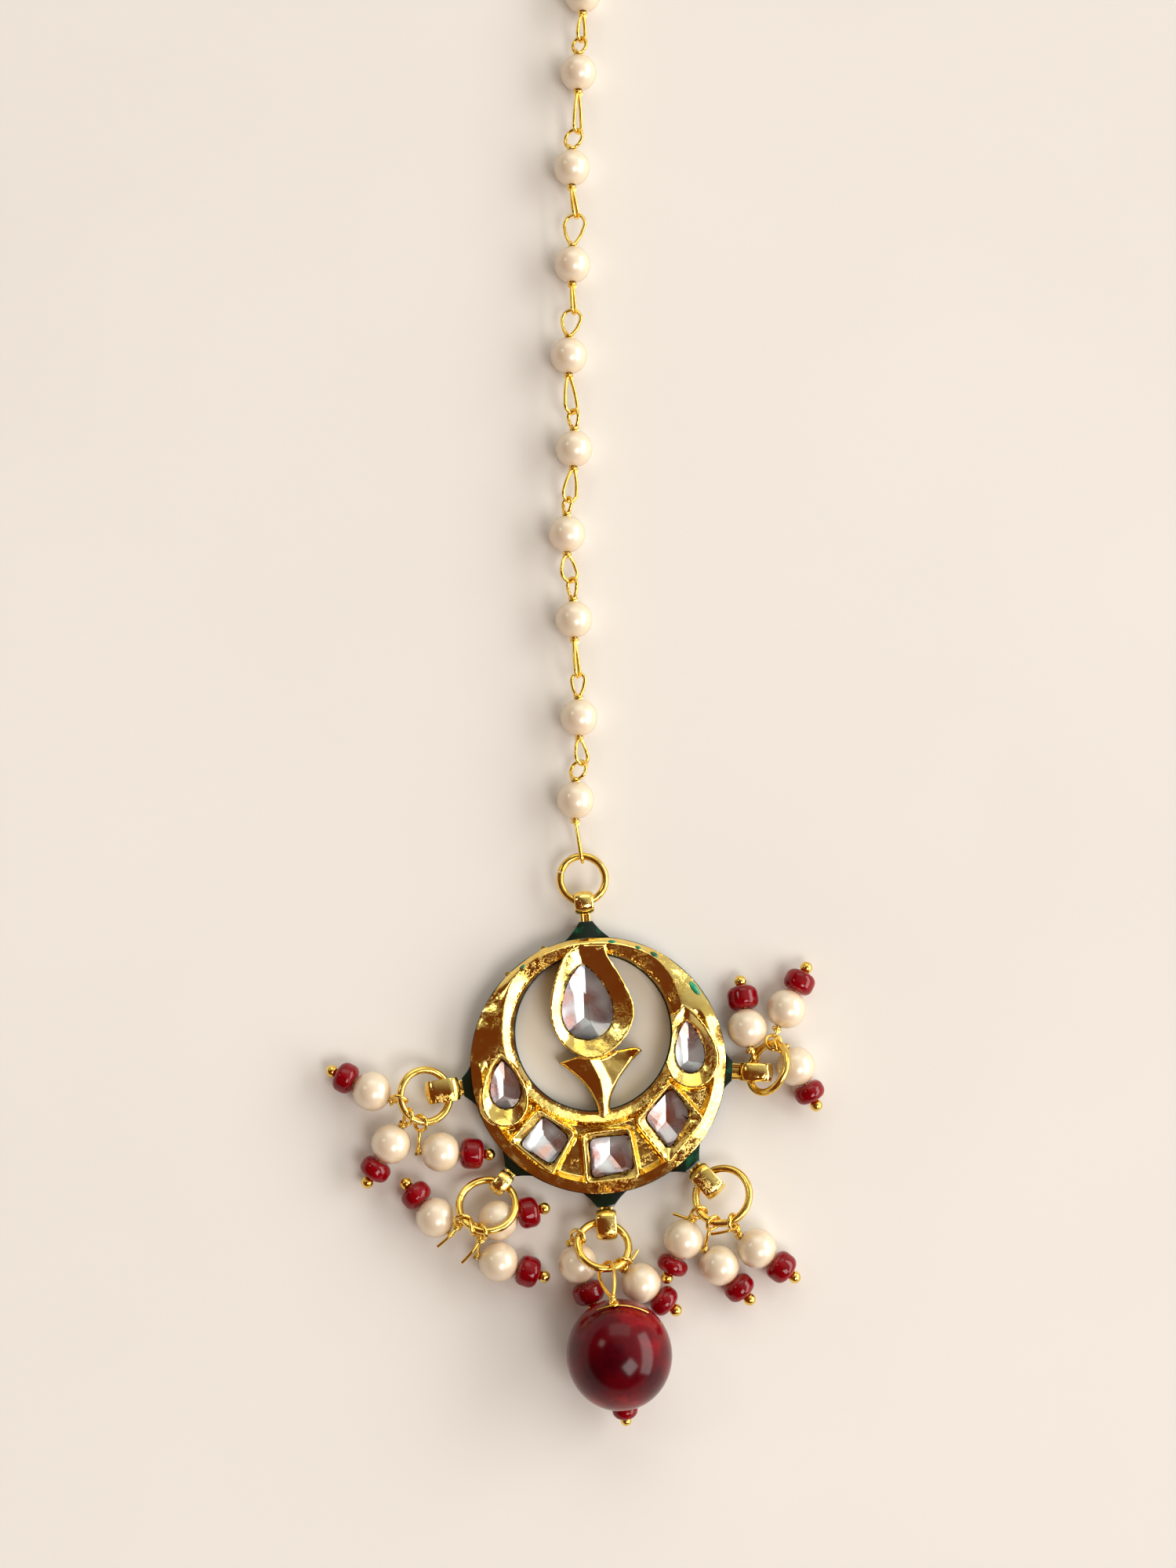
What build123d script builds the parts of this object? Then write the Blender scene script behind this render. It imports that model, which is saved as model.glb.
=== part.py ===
"""Maang tikka: an openwork medallion, a pearl chain with a hair hook, and five clusters of drops.

Millimetres. The origin is the middle of the medallion, on the plane of its flat back.
+Y runs up the hair chain and +Z is the face. The whole piece lies on the plane Z = 0.
"""
import os
from math import acos, asin, atan2, cos, degrees, hypot, pi, radians, sin

from build123d import *

# ---- driving dimensions -------------------------------------------------------------------------
DISC_R = 14.25         # gilt outer rim
ENAMEL_R = 14.5        # enamelled back and side, a little proud of the rim
ENAMEL_TOP = 1.2       # top of the enamelled plate, where the gilt shell starts
SIDE_TOP = 2.6         # top of the enamel on the side and on the flares
FIELD_TOP = 2.9        # floor between the stone cups
RIM_TOP = 3.8          # crests of the rims and cups
RIM_WIDTH = 1.15       # outer rim, across
OPENING_R = 9.0        # round opening of the crescent
OPENING_AT = (-0.6, 3.7)
CREST_R = 10.05        # crest of the rim round the opening
CREST_AT = (-0.8, 3.4)
SEAT_Z = 2.3           # floor under the stones
STONE_GAP = 0.04       # side gap between a stone and its cup
CUP_LIP = 0.28         # thickness of a cup's crest

BAIL_HEIGHT = 2.7
BAIL_CORNER_R = 1.2
BAIL_WALL = 0.45
NECK_TOP = 2.3
RING_WIRE_R = 0.42

CHAIN_PEARL_R = 2.17
DROP_PEARL_R = 2.25
BORE_R = 0.38
WIRE_R = 0.21
MOUTH_GAP = 0.27       # the middle of a wire's wrap or bend, outside its pearl
LINK_GAP = 0.07        # air between two linked wires
LEG_SPREAD = 0.23      # a loop's two legs start this far either side of its middle
WRAP_R = 0.44          # the wrap of wire at a loop's neck
WRAP_LENGTH = 0.4

BEAD_R = 1.75          # small red glass beads
BEAD_ROUND = 0.9       # rounding of their ends
SEED_R = 0.7           # gold seed that ends each pin
SEED_REACH = 0.6       # the seed's middle from the end of its bead, as it sits in the bore's mouth
PIN_LOOP_R = 0.85
PIECE_GAP = 0.05       # air between pieces on one pin

BIG_R = 5.85           # large bead, across its bore
BIG_HALF = 6.15        # large bead, along its bore
BIG_PITCH = 25
TAIL_BEAD_R = 1.4
TAIL_BEAD_LENGTH = 1.6
TAIL_SEED_R = 0.6

HOOK_WIRE_R = 0.45
HOOK_EYE_R = 1.25
HOOK_SHANK = 8.5
HOOK_BEND_R = 3.1
HOOK_POINT = 5.0
HOOK_TIP_R = 0.58      # ball on the hook's point
HOOK_EYE_Z = 1.25      # the eye rests on the chain's last loop, and the bend on the ground

# ---- outlines on the medallion's face ------------------------------------------------------------
# Lotus-bud cup: from its top left corner, down the left side, round the foot and up the right side.
BUD = [
    (-2.3, 13.5), (-3.6, 12.6), (-4.6, 10.5), (-5.3, 7.9), (-5.4, 5.7), (-5.0, 3.9), (-4.0, 2.3),
    (-2.5, 1.15), (-1.1, 0.7), (0.5, 0.95), (2.0, 1.9), (3.3, 3.4), (4.0, 5.4), (3.8, 7.1),
    (3.0, 8.95), (2.0, 10.7), (0.9, 12.4), (0.7, 13.5),
]
# Leaves and stem: left tip, over the top to the right tip, and back down round the stem's foot.
LEAVES = [
    (-4.5, 0.2), (-2.5, 0.85), (0.2, 1.2), (2.8, 1.75), (4.3, 2.0), (5.0, 1.6), (3.8, 0.4),
    (2.3, -1.7), (1.5, -3.5), (1.3, -4.8), (1.7, -6.5), (-0.5, -6.3), (0.0, -5.3), (-0.7, -3.5),
    (-1.7, -2.1), (-3.3, -0.7),
]
# Pear outlines: middle x and y, length, width, and lean in degrees (positive leans the tip left).
PEARS = {
    "petal_stone": dict(stone=(-1.35, 7.1, 8.6, 5.8, 7), cup=None),
    "left_pear_stone": dict(stone=(-10.55, -2.25, 5.4, 3.4, 7), cup=(-10.65, -2.85, 8.3, 5.3, 6)),
    "right_pear_stone": dict(stone=(10.3, 2.0, 5.9, 3.3, 6), cup=(10.15, 2.05, 9.3, 5.5, 8)),
}
PEAR_FULLNESS = 0.7
# Cushion outlines: four corners, from the top one clockwise.
CUSHIONS = {
    "left_square_stone": dict(
        stone=[(-6.1, -5.7), (-3.2, -8.2), (-5.2, -11.2), (-8.9, -9.0)],
        cup=[(-6.8, -4.9), (-2.5, -7.6), (-5.1, -12.4), (-10.0, -8.5)],
    ),
    "middle_square_stone": dict(
        stone=[(-1.0, -8.3), (3.6, -7.8), (4.0, -11.7), (-0.7, -12.7)],
        cup=[(-1.9, -7.7), (3.6, -7.0), (4.7, -12.7), (-1.4, -13.4)],
    ),
    "right_square_stone": dict(
        stone=[(8.3, -2.5), (10.4, -5.5), (8.1, -9.5), (5.2, -5.9)],
        cup=[(8.1, -1.8), (12.0, -6.1), (7.9, -11.2), (4.1, -6.4)],
    ),
}
CORNER_R = 0.45
STONE_SIDE_TOP = 3.3   # where a stone's crown starts
CROWN_TOP = 4.3

# ---- bails and jump rings ------------------------------------------------------------------------
# angle: round the medallion, degrees from +X. start, end: the folded strip, out from the middle.
# ring_r: the ring's mean radius. ring_at, ring_angle: its middle, out from the medallion's middle.
# pitch, roll: how far the ring's outer side and its anticlockwise side lift, in degrees.
# slot_z, inner_z: middle height of the slot, and height of the ring's inner side in it.
CLUSTERS = {
    "top": dict(angle=95, start=17.1, end=19.85, width=2.2, neck=1.2, flare=16.3, slot_z=2.1,
                ring_r=2.6, ring_at=21.2, ring_angle=94.8, pitch=0, roll=0, inner_z=2.1),
    "left": dict(angle=-170.5, start=15.8, end=19.9, width=2.6, neck=1.8, flare=15.5, slot_z=2.1,
                 ring_r=2.9, ring_at=19.85, ring_angle=-169.8, pitch=18, roll=0, inner_z=2.1),
    "lower_left": dict(angle=-129.5, start=15.7, end=18.6, width=1.8, neck=1.4, flare=15.5, slot_z=2.1,
                       ring_r=3.2, ring_at=20.0, ring_angle=-128.4, pitch=26, roll=20, inner_z=2.1),
    "bottom": dict(angle=-87, start=16.1, end=19.7, width=2.3, neck=1.6, flare=15.95, slot_z=2.1,
                   ring_r=2.9, ring_at=20.1, ring_angle=-88.4, pitch=33, roll=-12, inner_z=2.1),
    "lower_right": dict(angle=-46.8, start=15.9, end=19.9, width=2.5, neck=1.6, flare=15.7, slot_z=2.1,
                        ring_r=3.1, ring_at=20.2, ring_angle=-46.4, pitch=22, roll=0, inner_z=2.1),
    "right": dict(angle=-2.7, start=15.9, end=19.9, width=2.1, neck=1.9, flare=15.2, slot_z=1.75,
                  ring_r=2.85, ring_at=19.15, ring_angle=-1.1, pitch=49.5, roll=-16, inner_z=1.45),
}
FLARE_HALF = 3.1       # half width of an enamel flare where it leaves the rim

# ---- drops ---------------------------------------------------------------------------------------
# cluster, pearl x, y and z, heading from the pearl to its seed and how far it falls on the way (in
# degrees), where its loop sits on the ring (degrees from +X), and the length of its red bead.
# The first right drop leans on its ring, so its pearl is a little higher.
DROPS = [
    ("left", -25.6, -3.0, 2.25, 154, 6.5, 187, 2.3),
    ("left", -23.4, -8.9, 2.25, -122, 6.5, -128, 2.2),
    ("left", -17.8, -9.8, 2.25, -3, 6.5, -99, 2.6),
    ("lower_left", -18.3, -17.1, 2.25, 132, 6.5, -151, 2.2),
    ("lower_left", -11.3, -17.4, 2.25, 14, 6.5, -125, 2.5),
    ("lower_left", -11.2, -22.0, 2.25, -18, 6.5, -100, 2.5),
    ("bottom", -2.3, -22.2, 2.25, -70, 6.5, 160, 2.4),
    ("bottom", 4.8, -24.3, 2.25, -38, 6.5, -37, 2.1),
    ("lower_right", 9.6, -19.5, 2.25, -113, 6.5, -145, 1.8),
    ("lower_right", 13.6, -22.4, 2.25, -48, 6.5, -110, 2.2),
    ("lower_right", 17.8, -20.5, 2.25, -37, 6.5, -70, 2.5),
    ("right", 16.9, 4.1, 2.65, 97, 12.0, 127, 2.6),
    ("right", 21.4, 6.3, 2.25, 63, 6.5, 77, 2.4),
    ("right", 22.4, -0.2, 2.25, -62, 6.5, 66, 2.1),
]
BIG_DROP = dict(x=2.3, y=-31.8, heading=-84, loop_at=-84)

# ---- chain ---------------------------------------------------------------------------------------
# x and y of each pearl, x and y of the end of its upper loop, half widths of its lower and upper
# loops, and how far its lower loop turns out of the flat, in degrees. The loop below it on the
# chain is turned the other way.
CHAIN = [
    (-2.6, 30.2, -1.7, 34.75, 0.65, 0.95, 85),
    (-2.2, 39.8, -2.3, 45.0, 1.00, 0.80, 50),
    (-2.8, 51.3, -3.1, 56.2, 0.75, 0.80, 72),
    (-3.6, 61.4, -3.5, 65.8, 1.05, 0.75, 40),
    (-2.8, 71.6, -3.0, 76.3, 0.90, 0.80, 40),
    (-3.4, 82.8, -2.8, 88.4, 0.95, 1.05, 45),
    (-3.0, 93.9, -2.5, 100.1, 0.65, 1.20, 72),
    (-3.1, 105.8, -2.4, 110.6, 0.70, 1.00, 68),
    (-2.3, 117.6, -2.0, 122.0, 0.85, 0.85, 60),
    (-1.8, 127.4, -1.9, 132.5, 0.85, 0.85, 60),
]
HOOK_TURN = 0          # the hook's eye lies flat
HOOK_LINK_Z = 0.95     # end of the chain's last loop, under the hook's eye
UP = Vector(0, 0, 1)


def polar(radius, angle, z=0.0):
    """The point at that radius and angle (degrees) round the medallion."""
    return Vector(radius * cos(radians(angle)), radius * sin(radians(angle)), z)


def direction(heading, pitch=0.0):
    """The unit vector along a heading (degrees from +X) that falls by pitch."""
    flat = cos(radians(pitch))
    return Vector(flat * cos(radians(heading)), flat * sin(radians(heading)), -sin(radians(pitch)))


# ---- medallion -----------------------------------------------------------------------------------
def pear_face(x, y, length, width, lean):
    """A pear, tip up before it leans: across = sin t * sin(t/2)^fullness, along = cos t."""
    widest = acos(-PEAR_FULLNESS / (2 + PEAR_FULLNESS))
    half = width / 2 / (sin(widest) * sin(widest / 2) ** PEAR_FULLNESS)
    turns = [2 * pi * i / 24 for i in range(24)]
    points = [(half * sin(t) * sin(t / 2) ** PEAR_FULLNESS, length / 2 * cos(t)) for t in turns]
    return Pos(x, y) * Rot(0, 0, lean) * make_face(Spline(*points, points[0]))


def cushion_face(corners, grow=0.0):
    """A four-cornered outline with rounded corners, grown or shrunk all round."""
    face = make_face(Polyline(*corners, close=True))
    if grow:
        face = offset(face, grow, kind=Kind.INTERSECTION)
    return fillet(face.vertices(), CORNER_R)


def bud_face():
    """The lotus-bud cup: one smooth side from corner to corner, closed by its short flat top."""
    side = Spline(*BUD)
    return make_face([side, Line(BUD[-1], BUD[0])])


def bud_mouth():
    """The bud's outline inside its crest, as one closed curve that starts at the top."""
    x0, y0 = PEARS["petal_stone"]["stone"][:2]
    inner = []
    for x, y in BUD[1:-1]:
        away = Vector(x - x0, y - y0)
        short = away - away.normalized() * 1.5 * CUP_LIP
        inner.append((x0 + short.X, y0 + short.Y))
    start = (-1.0, BUD[0][1] - CUP_LIP)
    return make_face(Spline(start, *reversed(inner), start))


def cup_recess(stone, mouth):
    """What a cup is hollowed by: a straight seat for the stone, and slopes from it to the crest."""
    seat = extrude(Pos(0, 0, SEAT_Z) * stone, STONE_SIDE_TOP - SEAT_Z)
    slopes = loft([Pos(0, 0, SEAT_Z + 0.35) * stone, Pos(0, 0, RIM_TOP) * mouth])
    return seat + slopes


def stone_solid(face, crown):
    """A stone: straight sides from its seat, then slopes up to a small flat crown."""
    girdle = extrude(Pos(0, 0, SEAT_Z) * face, STONE_SIDE_TOP - SEAT_Z)
    return girdle + loft([Pos(0, 0, STONE_SIDE_TOP) * face, Pos(0, 0, CROWN_TOP) * crown])


def grown_pear(x, y, length, width, lean, grow):
    """A pear grown all round by about the same amount; its tip moves twice as far as its foot."""
    up = direction(90 + lean)
    middle = Vector(x, y) + up * grow * 0.5
    return pear_face(middle.X, middle.Y, length + 3 * grow, width + 2 * grow, lean)


def stones_and_cups():
    """The stones by name, the cups' walls, and what hollows them."""
    stones, walls, recesses = {}, [], []
    for name, row in PEARS.items():
        x, y, length, width, lean = row["stone"]
        crown = pear_face(x, y - 0.1 * length, 0.45 * length, 0.4 * width, lean)
        stones[name] = stone_solid(grown_pear(*row["stone"], -STONE_GAP), crown)
        if row["cup"] is None:
            wall, mouth = bud_face(), bud_mouth()
        else:
            wall, mouth = pear_face(*row["cup"]), grown_pear(*row["cup"], -CUP_LIP)
        walls.append(wall)
        recesses.append(cup_recess(pear_face(*row["stone"]), mouth))
    for name, row in CUSHIONS.items():
        crown = cushion_face(row["stone"], -1.1)
        stones[name] = stone_solid(cushion_face(row["stone"], -STONE_GAP), crown)
        walls.append(cushion_face(row["cup"]))
        recesses.append(cup_recess(cushion_face(row["stone"]), cushion_face(row["cup"], -CUP_LIP)))
    return stones, walls, recesses


def bail(row):
    """A strip folded to a long loop, with its neck. The slot runs round the medallion's edge."""
    middle = (row["start"] + row["end"]) / 2
    length = row["end"] - row["start"]
    out = direction(row["angle"])
    side = Plane(origin=polar(middle, row["angle"], row["slot_z"]), x_dir=out, z_dir=UP.cross(out))
    strip = RectangleRounded(length, BAIL_HEIGHT, BAIL_CORNER_R)
    strip -= RectangleRounded(length - 2 * BAIL_WALL, BAIL_HEIGHT - 2 * BAIL_WALL, BAIL_CORNER_R - BAIL_WALL)
    loop = extrude(side * strip, row["width"] / 2, both=True)
    return loop + neck_box(row, DISC_R - 1, row["start"] + BAIL_WALL)


def neck_box(row, start, end):
    """The bar between two distances from the middle that carries a bail."""
    bar = Box(end - start, row["neck"], NECK_TOP - ENAMEL_TOP, align=(Align.MIN, Align.CENTER, Align.MIN))
    return Pos(polar(start, row["angle"], ENAMEL_TOP)) * Rot(0, 0, row["angle"]) * bar


def medallion_frame(walls, recesses):
    """The whole gilt shell in one solid."""
    disc = Circle(DISC_R) - Pos(*OPENING_AT) * Circle(OPENING_R)
    body = extrude(Pos(0, 0, ENAMEL_TOP) * disc, FIELD_TOP - ENAMEL_TOP)

    rim = Circle(DISC_R) - Circle(DISC_R - RIM_WIDTH)
    outer = extrude(Pos(0, 0, ENAMEL_TOP) * rim, RIM_TOP - ENAMEL_TOP)
    outer = fillet(outer.edges().filter_by(GeomType.CIRCLE).group_by(Axis.Z)[-1], RIM_WIDTH * 0.45)

    crest = Pos(*CREST_AT) * Circle(CREST_R) & Circle(DISC_R - RIM_WIDTH / 2)
    inner = extrude(Pos(0, 0, FIELD_TOP - 0.5) * crest, RIM_TOP - FIELD_TOP + 0.5)
    depth = RIM_TOP - FIELD_TOP + 1
    slope = Cone(OPENING_R - 0.3, CREST_R - 0.35, depth, align=(Align.CENTER, Align.CENTER, Align.MAX))
    inner -= Pos(*OPENING_AT, RIM_TOP) * slope
    inner -= extrude(Pos(*OPENING_AT) * Circle(OPENING_R), RIM_TOP + 1)

    body += [outer, inner]
    for wall in walls:
        body += extrude(Pos(0, 0, ENAMEL_TOP) * wall, RIM_TOP - ENAMEL_TOP)
    body += extrude(Pos(0, 0, ENAMEL_TOP) * make_face(Polyline(*LEAVES, close=True)),
                    RIM_TOP - 0.3 - ENAMEL_TOP)
    for recess in recesses:
        body -= recess
    for row in CLUSTERS.values():
        body += bail(row)
    return body


def flare_face(row):
    """The enamel's pointed flare round a neck, with hollow sides."""
    base = DISC_R - 0.4
    tip_half = row["neck"] / 2 + 0.15
    middle = (0.35 * base + 0.65 * row["flare"], 0.3 * FLARE_HALF + 0.6 * tip_half)
    left = ThreePointArc((base, FLARE_HALF), middle, (row["flare"], tip_half))
    right = ThreePointArc((base, -FLARE_HALF), (middle[0], -middle[1]), (row["flare"], -tip_half))
    ends = [Line((base, -FLARE_HALF), (base, FLARE_HALF)), Line(left @ 1, right @ 1)]
    return Rot(0, 0, row["angle"]) * make_face([left, right, *ends])


def enamel_back():
    """The enamelled back, crescent, bud and leaves in one plate, with the side wall and flares."""
    plate = Circle(ENAMEL_R) - Pos(*OPENING_AT) * Circle(OPENING_R - 0.15)
    plate += [bud_face(), make_face(Polyline(*LEAVES, close=True))]
    flares = [flare_face(row) for row in CLUSTERS.values()]
    plate += flares
    side = Circle(ENAMEL_R) + flares
    side -= Circle(DISC_R)
    back = extrude(plate, ENAMEL_TOP)
    back += extrude(Pos(0, 0, ENAMEL_TOP) * side, SIDE_TOP - ENAMEL_TOP)
    for row in CLUSTERS.values():
        back -= neck_box(row, DISC_R - 1, row["start"])
    return back


# ---- rings, beads and wires ----------------------------------------------------------------------
def ring_frame(row):
    """A jump ring's middle, and its two in-plane directions: outwards and sideways."""
    out = direction(row["ring_angle"], -row["pitch"])
    flat_side = UP.cross(direction(row["ring_angle"]))
    roll = radians(row["roll"])
    side = flat_side * cos(roll) + out.cross(flat_side) * sin(roll)
    lift = row["inner_z"] + row["ring_r"] * sin(radians(row["pitch"]))
    return polar(row["ring_at"], row["ring_angle"], lift), out, side


def ring_point(row, angle):
    """The point of a ring's wire that is seen from above in that direction from its middle."""
    middle, out, side = ring_frame(row)
    aim = direction(angle)
    spread = out.X * side.Y - out.Y * side.X
    along = (aim.X * side.Y - aim.Y * side.X) / spread
    across = (out.X * aim.Y - out.Y * aim.X) / spread
    return middle + (out * along + side * across).normalized() * row["ring_r"]


def ring_solid(row):
    middle, out, side = ring_frame(row)
    return Plane(origin=middle, x_dir=out, z_dir=out.cross(side)) * Torus(row["ring_r"], RING_WIRE_R)


def rod(start, end, radius):
    """A round rod from point to point."""
    along = end - start
    shape = Cylinder(radius, along.length, align=(Align.CENTER, Align.CENTER, Align.MIN))
    return Plane(origin=start, z_dir=along) * shape


def ball(at, radius):
    return Pos(at) * Sphere(radius)


def eye(start, end, half_width, side):
    """A wire loop like a narrow drop with its round end at end, and the wire's wrap at start."""
    along = (end - start).normalized()
    across = (side - along * side.dot(along)).normalized()
    centre = end - along * half_width
    reach = (centre - start).length
    tangent = atan2(LEG_SPREAD, -reach) - acos(half_width / hypot(reach, LEG_SPREAD))
    lift = along * half_width * cos(tangent)
    swing = across * half_width * sin(tangent)
    leg = Line(start + across * LEG_SPREAD, centre + lift + swing)
    bow = ThreePointArc(leg @ 1, end, centre + lift - swing)
    back = Line(bow @ 1, start - across * LEG_SPREAD)
    loop = sweep(Plane(origin=leg @ 0, z_dir=leg % 0) * Circle(WIRE_R), path=leg + bow + back)
    wrap = rod(start - along * WRAP_LENGTH / 2, start + along * WRAP_LENGTH / 2, WRAP_R)
    return [loop, wrap]


def spun(at, along, profile):
    """A profile in the X-Y plane turned about Y, then stood at a point along a direction."""
    return Plane(origin=at, z_dir=along) * Rot(90, 0, 0) * revolve(profile, Axis.Y)


def bored_ball(at, along, radius):
    """A pearl with its drilled hole."""
    half = (radius**2 - BORE_R**2) ** 0.5
    meridian = ThreePointArc((BORE_R, -half), (radius, 0), (BORE_R, half))
    return spun(at, along, make_face([meridian, Line((BORE_R, half), (BORE_R, -half))]))


def glass_bead(at, along, radius, length):
    """A small glass bead: a short drum with well-rounded ends, and its hole."""
    wall = Pos(BORE_R, 0) * Rectangle(radius - BORE_R, length, align=(Align.MIN, Align.CENTER))
    outside = wall.vertices().group_by(Axis.X)[-1]
    return spun(at, along, fillet(outside, min(BEAD_ROUND, length / 2.2)))


def pin(ring_row, loop_at, mouth, end, seed_r):
    """A drop's wire: a loop round the ring, a bend to the pearl's mouth, and a seed at its end."""
    middle, out, side = ring_frame(ring_row)
    grip = ring_point(ring_row, loop_at)
    aim = (mouth - grip).normalized()
    centre = grip + aim * (PIN_LOOP_R - RING_WIRE_R - WIRE_R - LINK_GAP)
    tangent = out.cross(side).cross(grip - middle)
    normal = (tangent - aim * tangent.dot(aim)).normalized()
    loop = Plane(origin=centre, x_dir=aim, z_dir=normal) * Torus(PIN_LOOP_R, WIRE_R)
    neck = rod(centre + aim * PIN_LOOP_R, mouth, WIRE_R)
    return loop + [neck, ball(mouth, WIRE_R), rod(mouth, end, WIRE_R), ball(end, seed_r)]


def drop(cluster, x, y, z, heading, fall, loop_at, bead_length):
    """One lying drop: its pearl, its red bead and its pin."""
    along = direction(heading, fall)
    at = Vector(x, y, z)
    bead_at = at + along * (DROP_PEARL_R + bead_length / 2)
    end = bead_at + along * (bead_length / 2 + SEED_REACH + PIECE_GAP)
    mouth = at - along * (DROP_PEARL_R + MOUTH_GAP)
    pearl = bored_ball(at, along, DROP_PEARL_R)
    bead = glass_bead(bead_at, along, BEAD_R, bead_length)
    return pearl, bead, pin(CLUSTERS[cluster], loop_at, mouth, end, SEED_R)


def big_drop():
    """The large bead, tilted and resting on the ground, with its small tail bead and its pin."""
    along = direction(BIG_DROP["heading"], BIG_PITCH)
    fall = radians(BIG_PITCH)
    rest_z = hypot(BIG_R * cos(fall), BIG_HALF * sin(fall))
    at = Vector(BIG_DROP["x"], BIG_DROP["y"], rest_z)
    meridian = EllipticalCenterArc((0, 0), BIG_R, BIG_HALF, start_angle=-90, arc_size=180)
    half_face = make_face([meridian, Line((0, BIG_HALF), (0, -BIG_HALF))])
    bore = Rectangle(2 * BORE_R, 4 * BIG_HALF)
    tail_at = at + along * (BIG_HALF + PIECE_GAP + TAIL_BEAD_LENGTH / 2)
    end = tail_at + along * (TAIL_BEAD_LENGTH / 2 + PIECE_GAP + TAIL_SEED_R)
    mouth = at - along * (BIG_HALF + MOUTH_GAP)
    tail = glass_bead(tail_at, along, TAIL_BEAD_R, TAIL_BEAD_LENGTH)
    wire = pin(CLUSTERS["bottom"], BIG_DROP["loop_at"], mouth, end, TAIL_SEED_R)
    return spun(at, along, half_face - bore), tail, wire


def turned(flat, turn):
    """A sideways direction turned out of the flat by that many degrees."""
    return flat * cos(radians(turn)) + UP * sin(radians(turn))


def chain():
    """The chain's pearls and wires, from the medallion's top ring up, and the last loop's end."""
    pearls, wires = [], []
    top = ring_point(CLUSTERS["top"], 90)
    low = Vector(top.X, top.Y - RING_WIRE_R - WIRE_R - LINK_GAP, top.Z)
    next_turns = [row[-1] for row in CHAIN[1:]] + [HOOK_TURN]
    heights = [CHAIN_PEARL_R] * (len(CHAIN) - 1) + [HOOK_LINK_Z]
    for row, next_turn, end_z in zip(CHAIN, next_turns, heights):
        x, y, end_x, end_y, low_half, high_half, turn = row
        at = Vector(x, y, CHAIN_PEARL_R)
        high = Vector(end_x, end_y, end_z)
        along = Vector((high.X - low.X) / 2, high.Y - low.Y, 0).normalized()
        reach = along * (CHAIN_PEARL_R + MOUTH_GAP)
        flat = UP.cross(along)
        wire = rod(at - reach, at + reach, WIRE_R) + eye(at - reach, low, low_half, turned(flat, turn))
        wire += eye(at + reach, high, high_half, turned(flat, next_turn - 90))
        pearls.append(bored_ball(at, along, CHAIN_PEARL_R))
        wires.append(wire)
        low = Vector(high.X, high.Y - 2 * WIRE_R - LINK_GAP, high.Z)
    return pearls, wires, high


def hair_hook(link):
    """A plain wire hook: an eye round the chain's last loop, a shank, a bend and a short point."""
    foot = Vector(0, HOOK_EYE_R, 0)
    head = foot + Vector(0, HOOK_SHANK, 0)
    over = head + Vector(2 * HOOK_BEND_R, 0, 0)
    crown = head + Vector(HOOK_BEND_R, HOOK_BEND_R, 0)
    bend = ThreePointArc(head, crown, over)
    bow = sweep(Plane(origin=head, z_dir=bend % 0) * Circle(HOOK_WIRE_R), path=bend)
    point = over - Vector(0, HOOK_POINT, 0)
    eye_ring = Torus(HOOK_EYE_R, HOOK_WIRE_R)
    hook = eye_ring + [rod(foot, head, HOOK_WIRE_R), bow, rod(over, point, HOOK_WIRE_R),
                       ball(point, HOOK_TIP_R)]
    fall = degrees(asin((HOOK_EYE_Z - HOOK_WIRE_R) / crown.Y))
    eye_y = link.Y - WIRE_R - LINK_GAP - HOOK_WIRE_R + HOOK_EYE_R
    return Pos(link.X, eye_y, HOOK_EYE_Z) * Rot(-fall, 0, 0) * hook


def all_nodes():
    stones, walls, recesses = stones_and_cups()
    nodes = {"medallion_frame": medallion_frame(walls, recesses), "enamel_back": enamel_back()}
    nodes.update(stones)
    for name, row in CLUSTERS.items():
        nodes[f"{name}_ring"] = ring_solid(row)

    pearls, wires, link = chain()
    for i, (pearl, wire) in enumerate(zip(pearls, wires), start=1):
        nodes[f"chain_pearl_{i:02d}"] = pearl
        nodes[f"chain_wire_{i:02d}"] = wire
    nodes["hair_hook"] = hair_hook(link)

    beads, pins, counts = {}, {}, {}
    for cluster, *row in DROPS:
        pearl, bead, wire = drop(cluster, *row)
        counts[cluster] = counts.get(cluster, 0) + 1
        nodes[f"{cluster}_drop_pearl_{counts[cluster]}"] = pearl
        beads.setdefault(cluster, []).append(bead)
        pins.setdefault(cluster, []).append(wire)
    nodes["big_bead"], tail, wire = big_drop()
    beads["bottom"].append(tail)
    pins["bottom"].append(wire)
    for cluster in beads:
        nodes[f"{cluster}_drop_beads"] = Compound(children=beads[cluster])
        nodes[f"{cluster}_drop_pins"] = Compound(children=pins[cluster])
    return nodes


os.makedirs("parts", exist_ok=True)
for node, shape in all_nodes().items():
    export_step(shape, f"parts/{node}.step")
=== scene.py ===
"""Maang tikka: a gilt and enamelled medallion on a pearl chain, with clusters of drops.

It lies face up on a pale table, with its chain running up to the hair hook. Sizes are in
millimetres unless a name says otherwise, and a mesh is scaled to metres as it is made.
"""
from math import acos, atan2, cos, degrees, hypot, pi, radians, sin

import bpy
import numpy as np
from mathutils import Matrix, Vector
from mathutils.geometry import delaunay_2d_cdt


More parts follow.
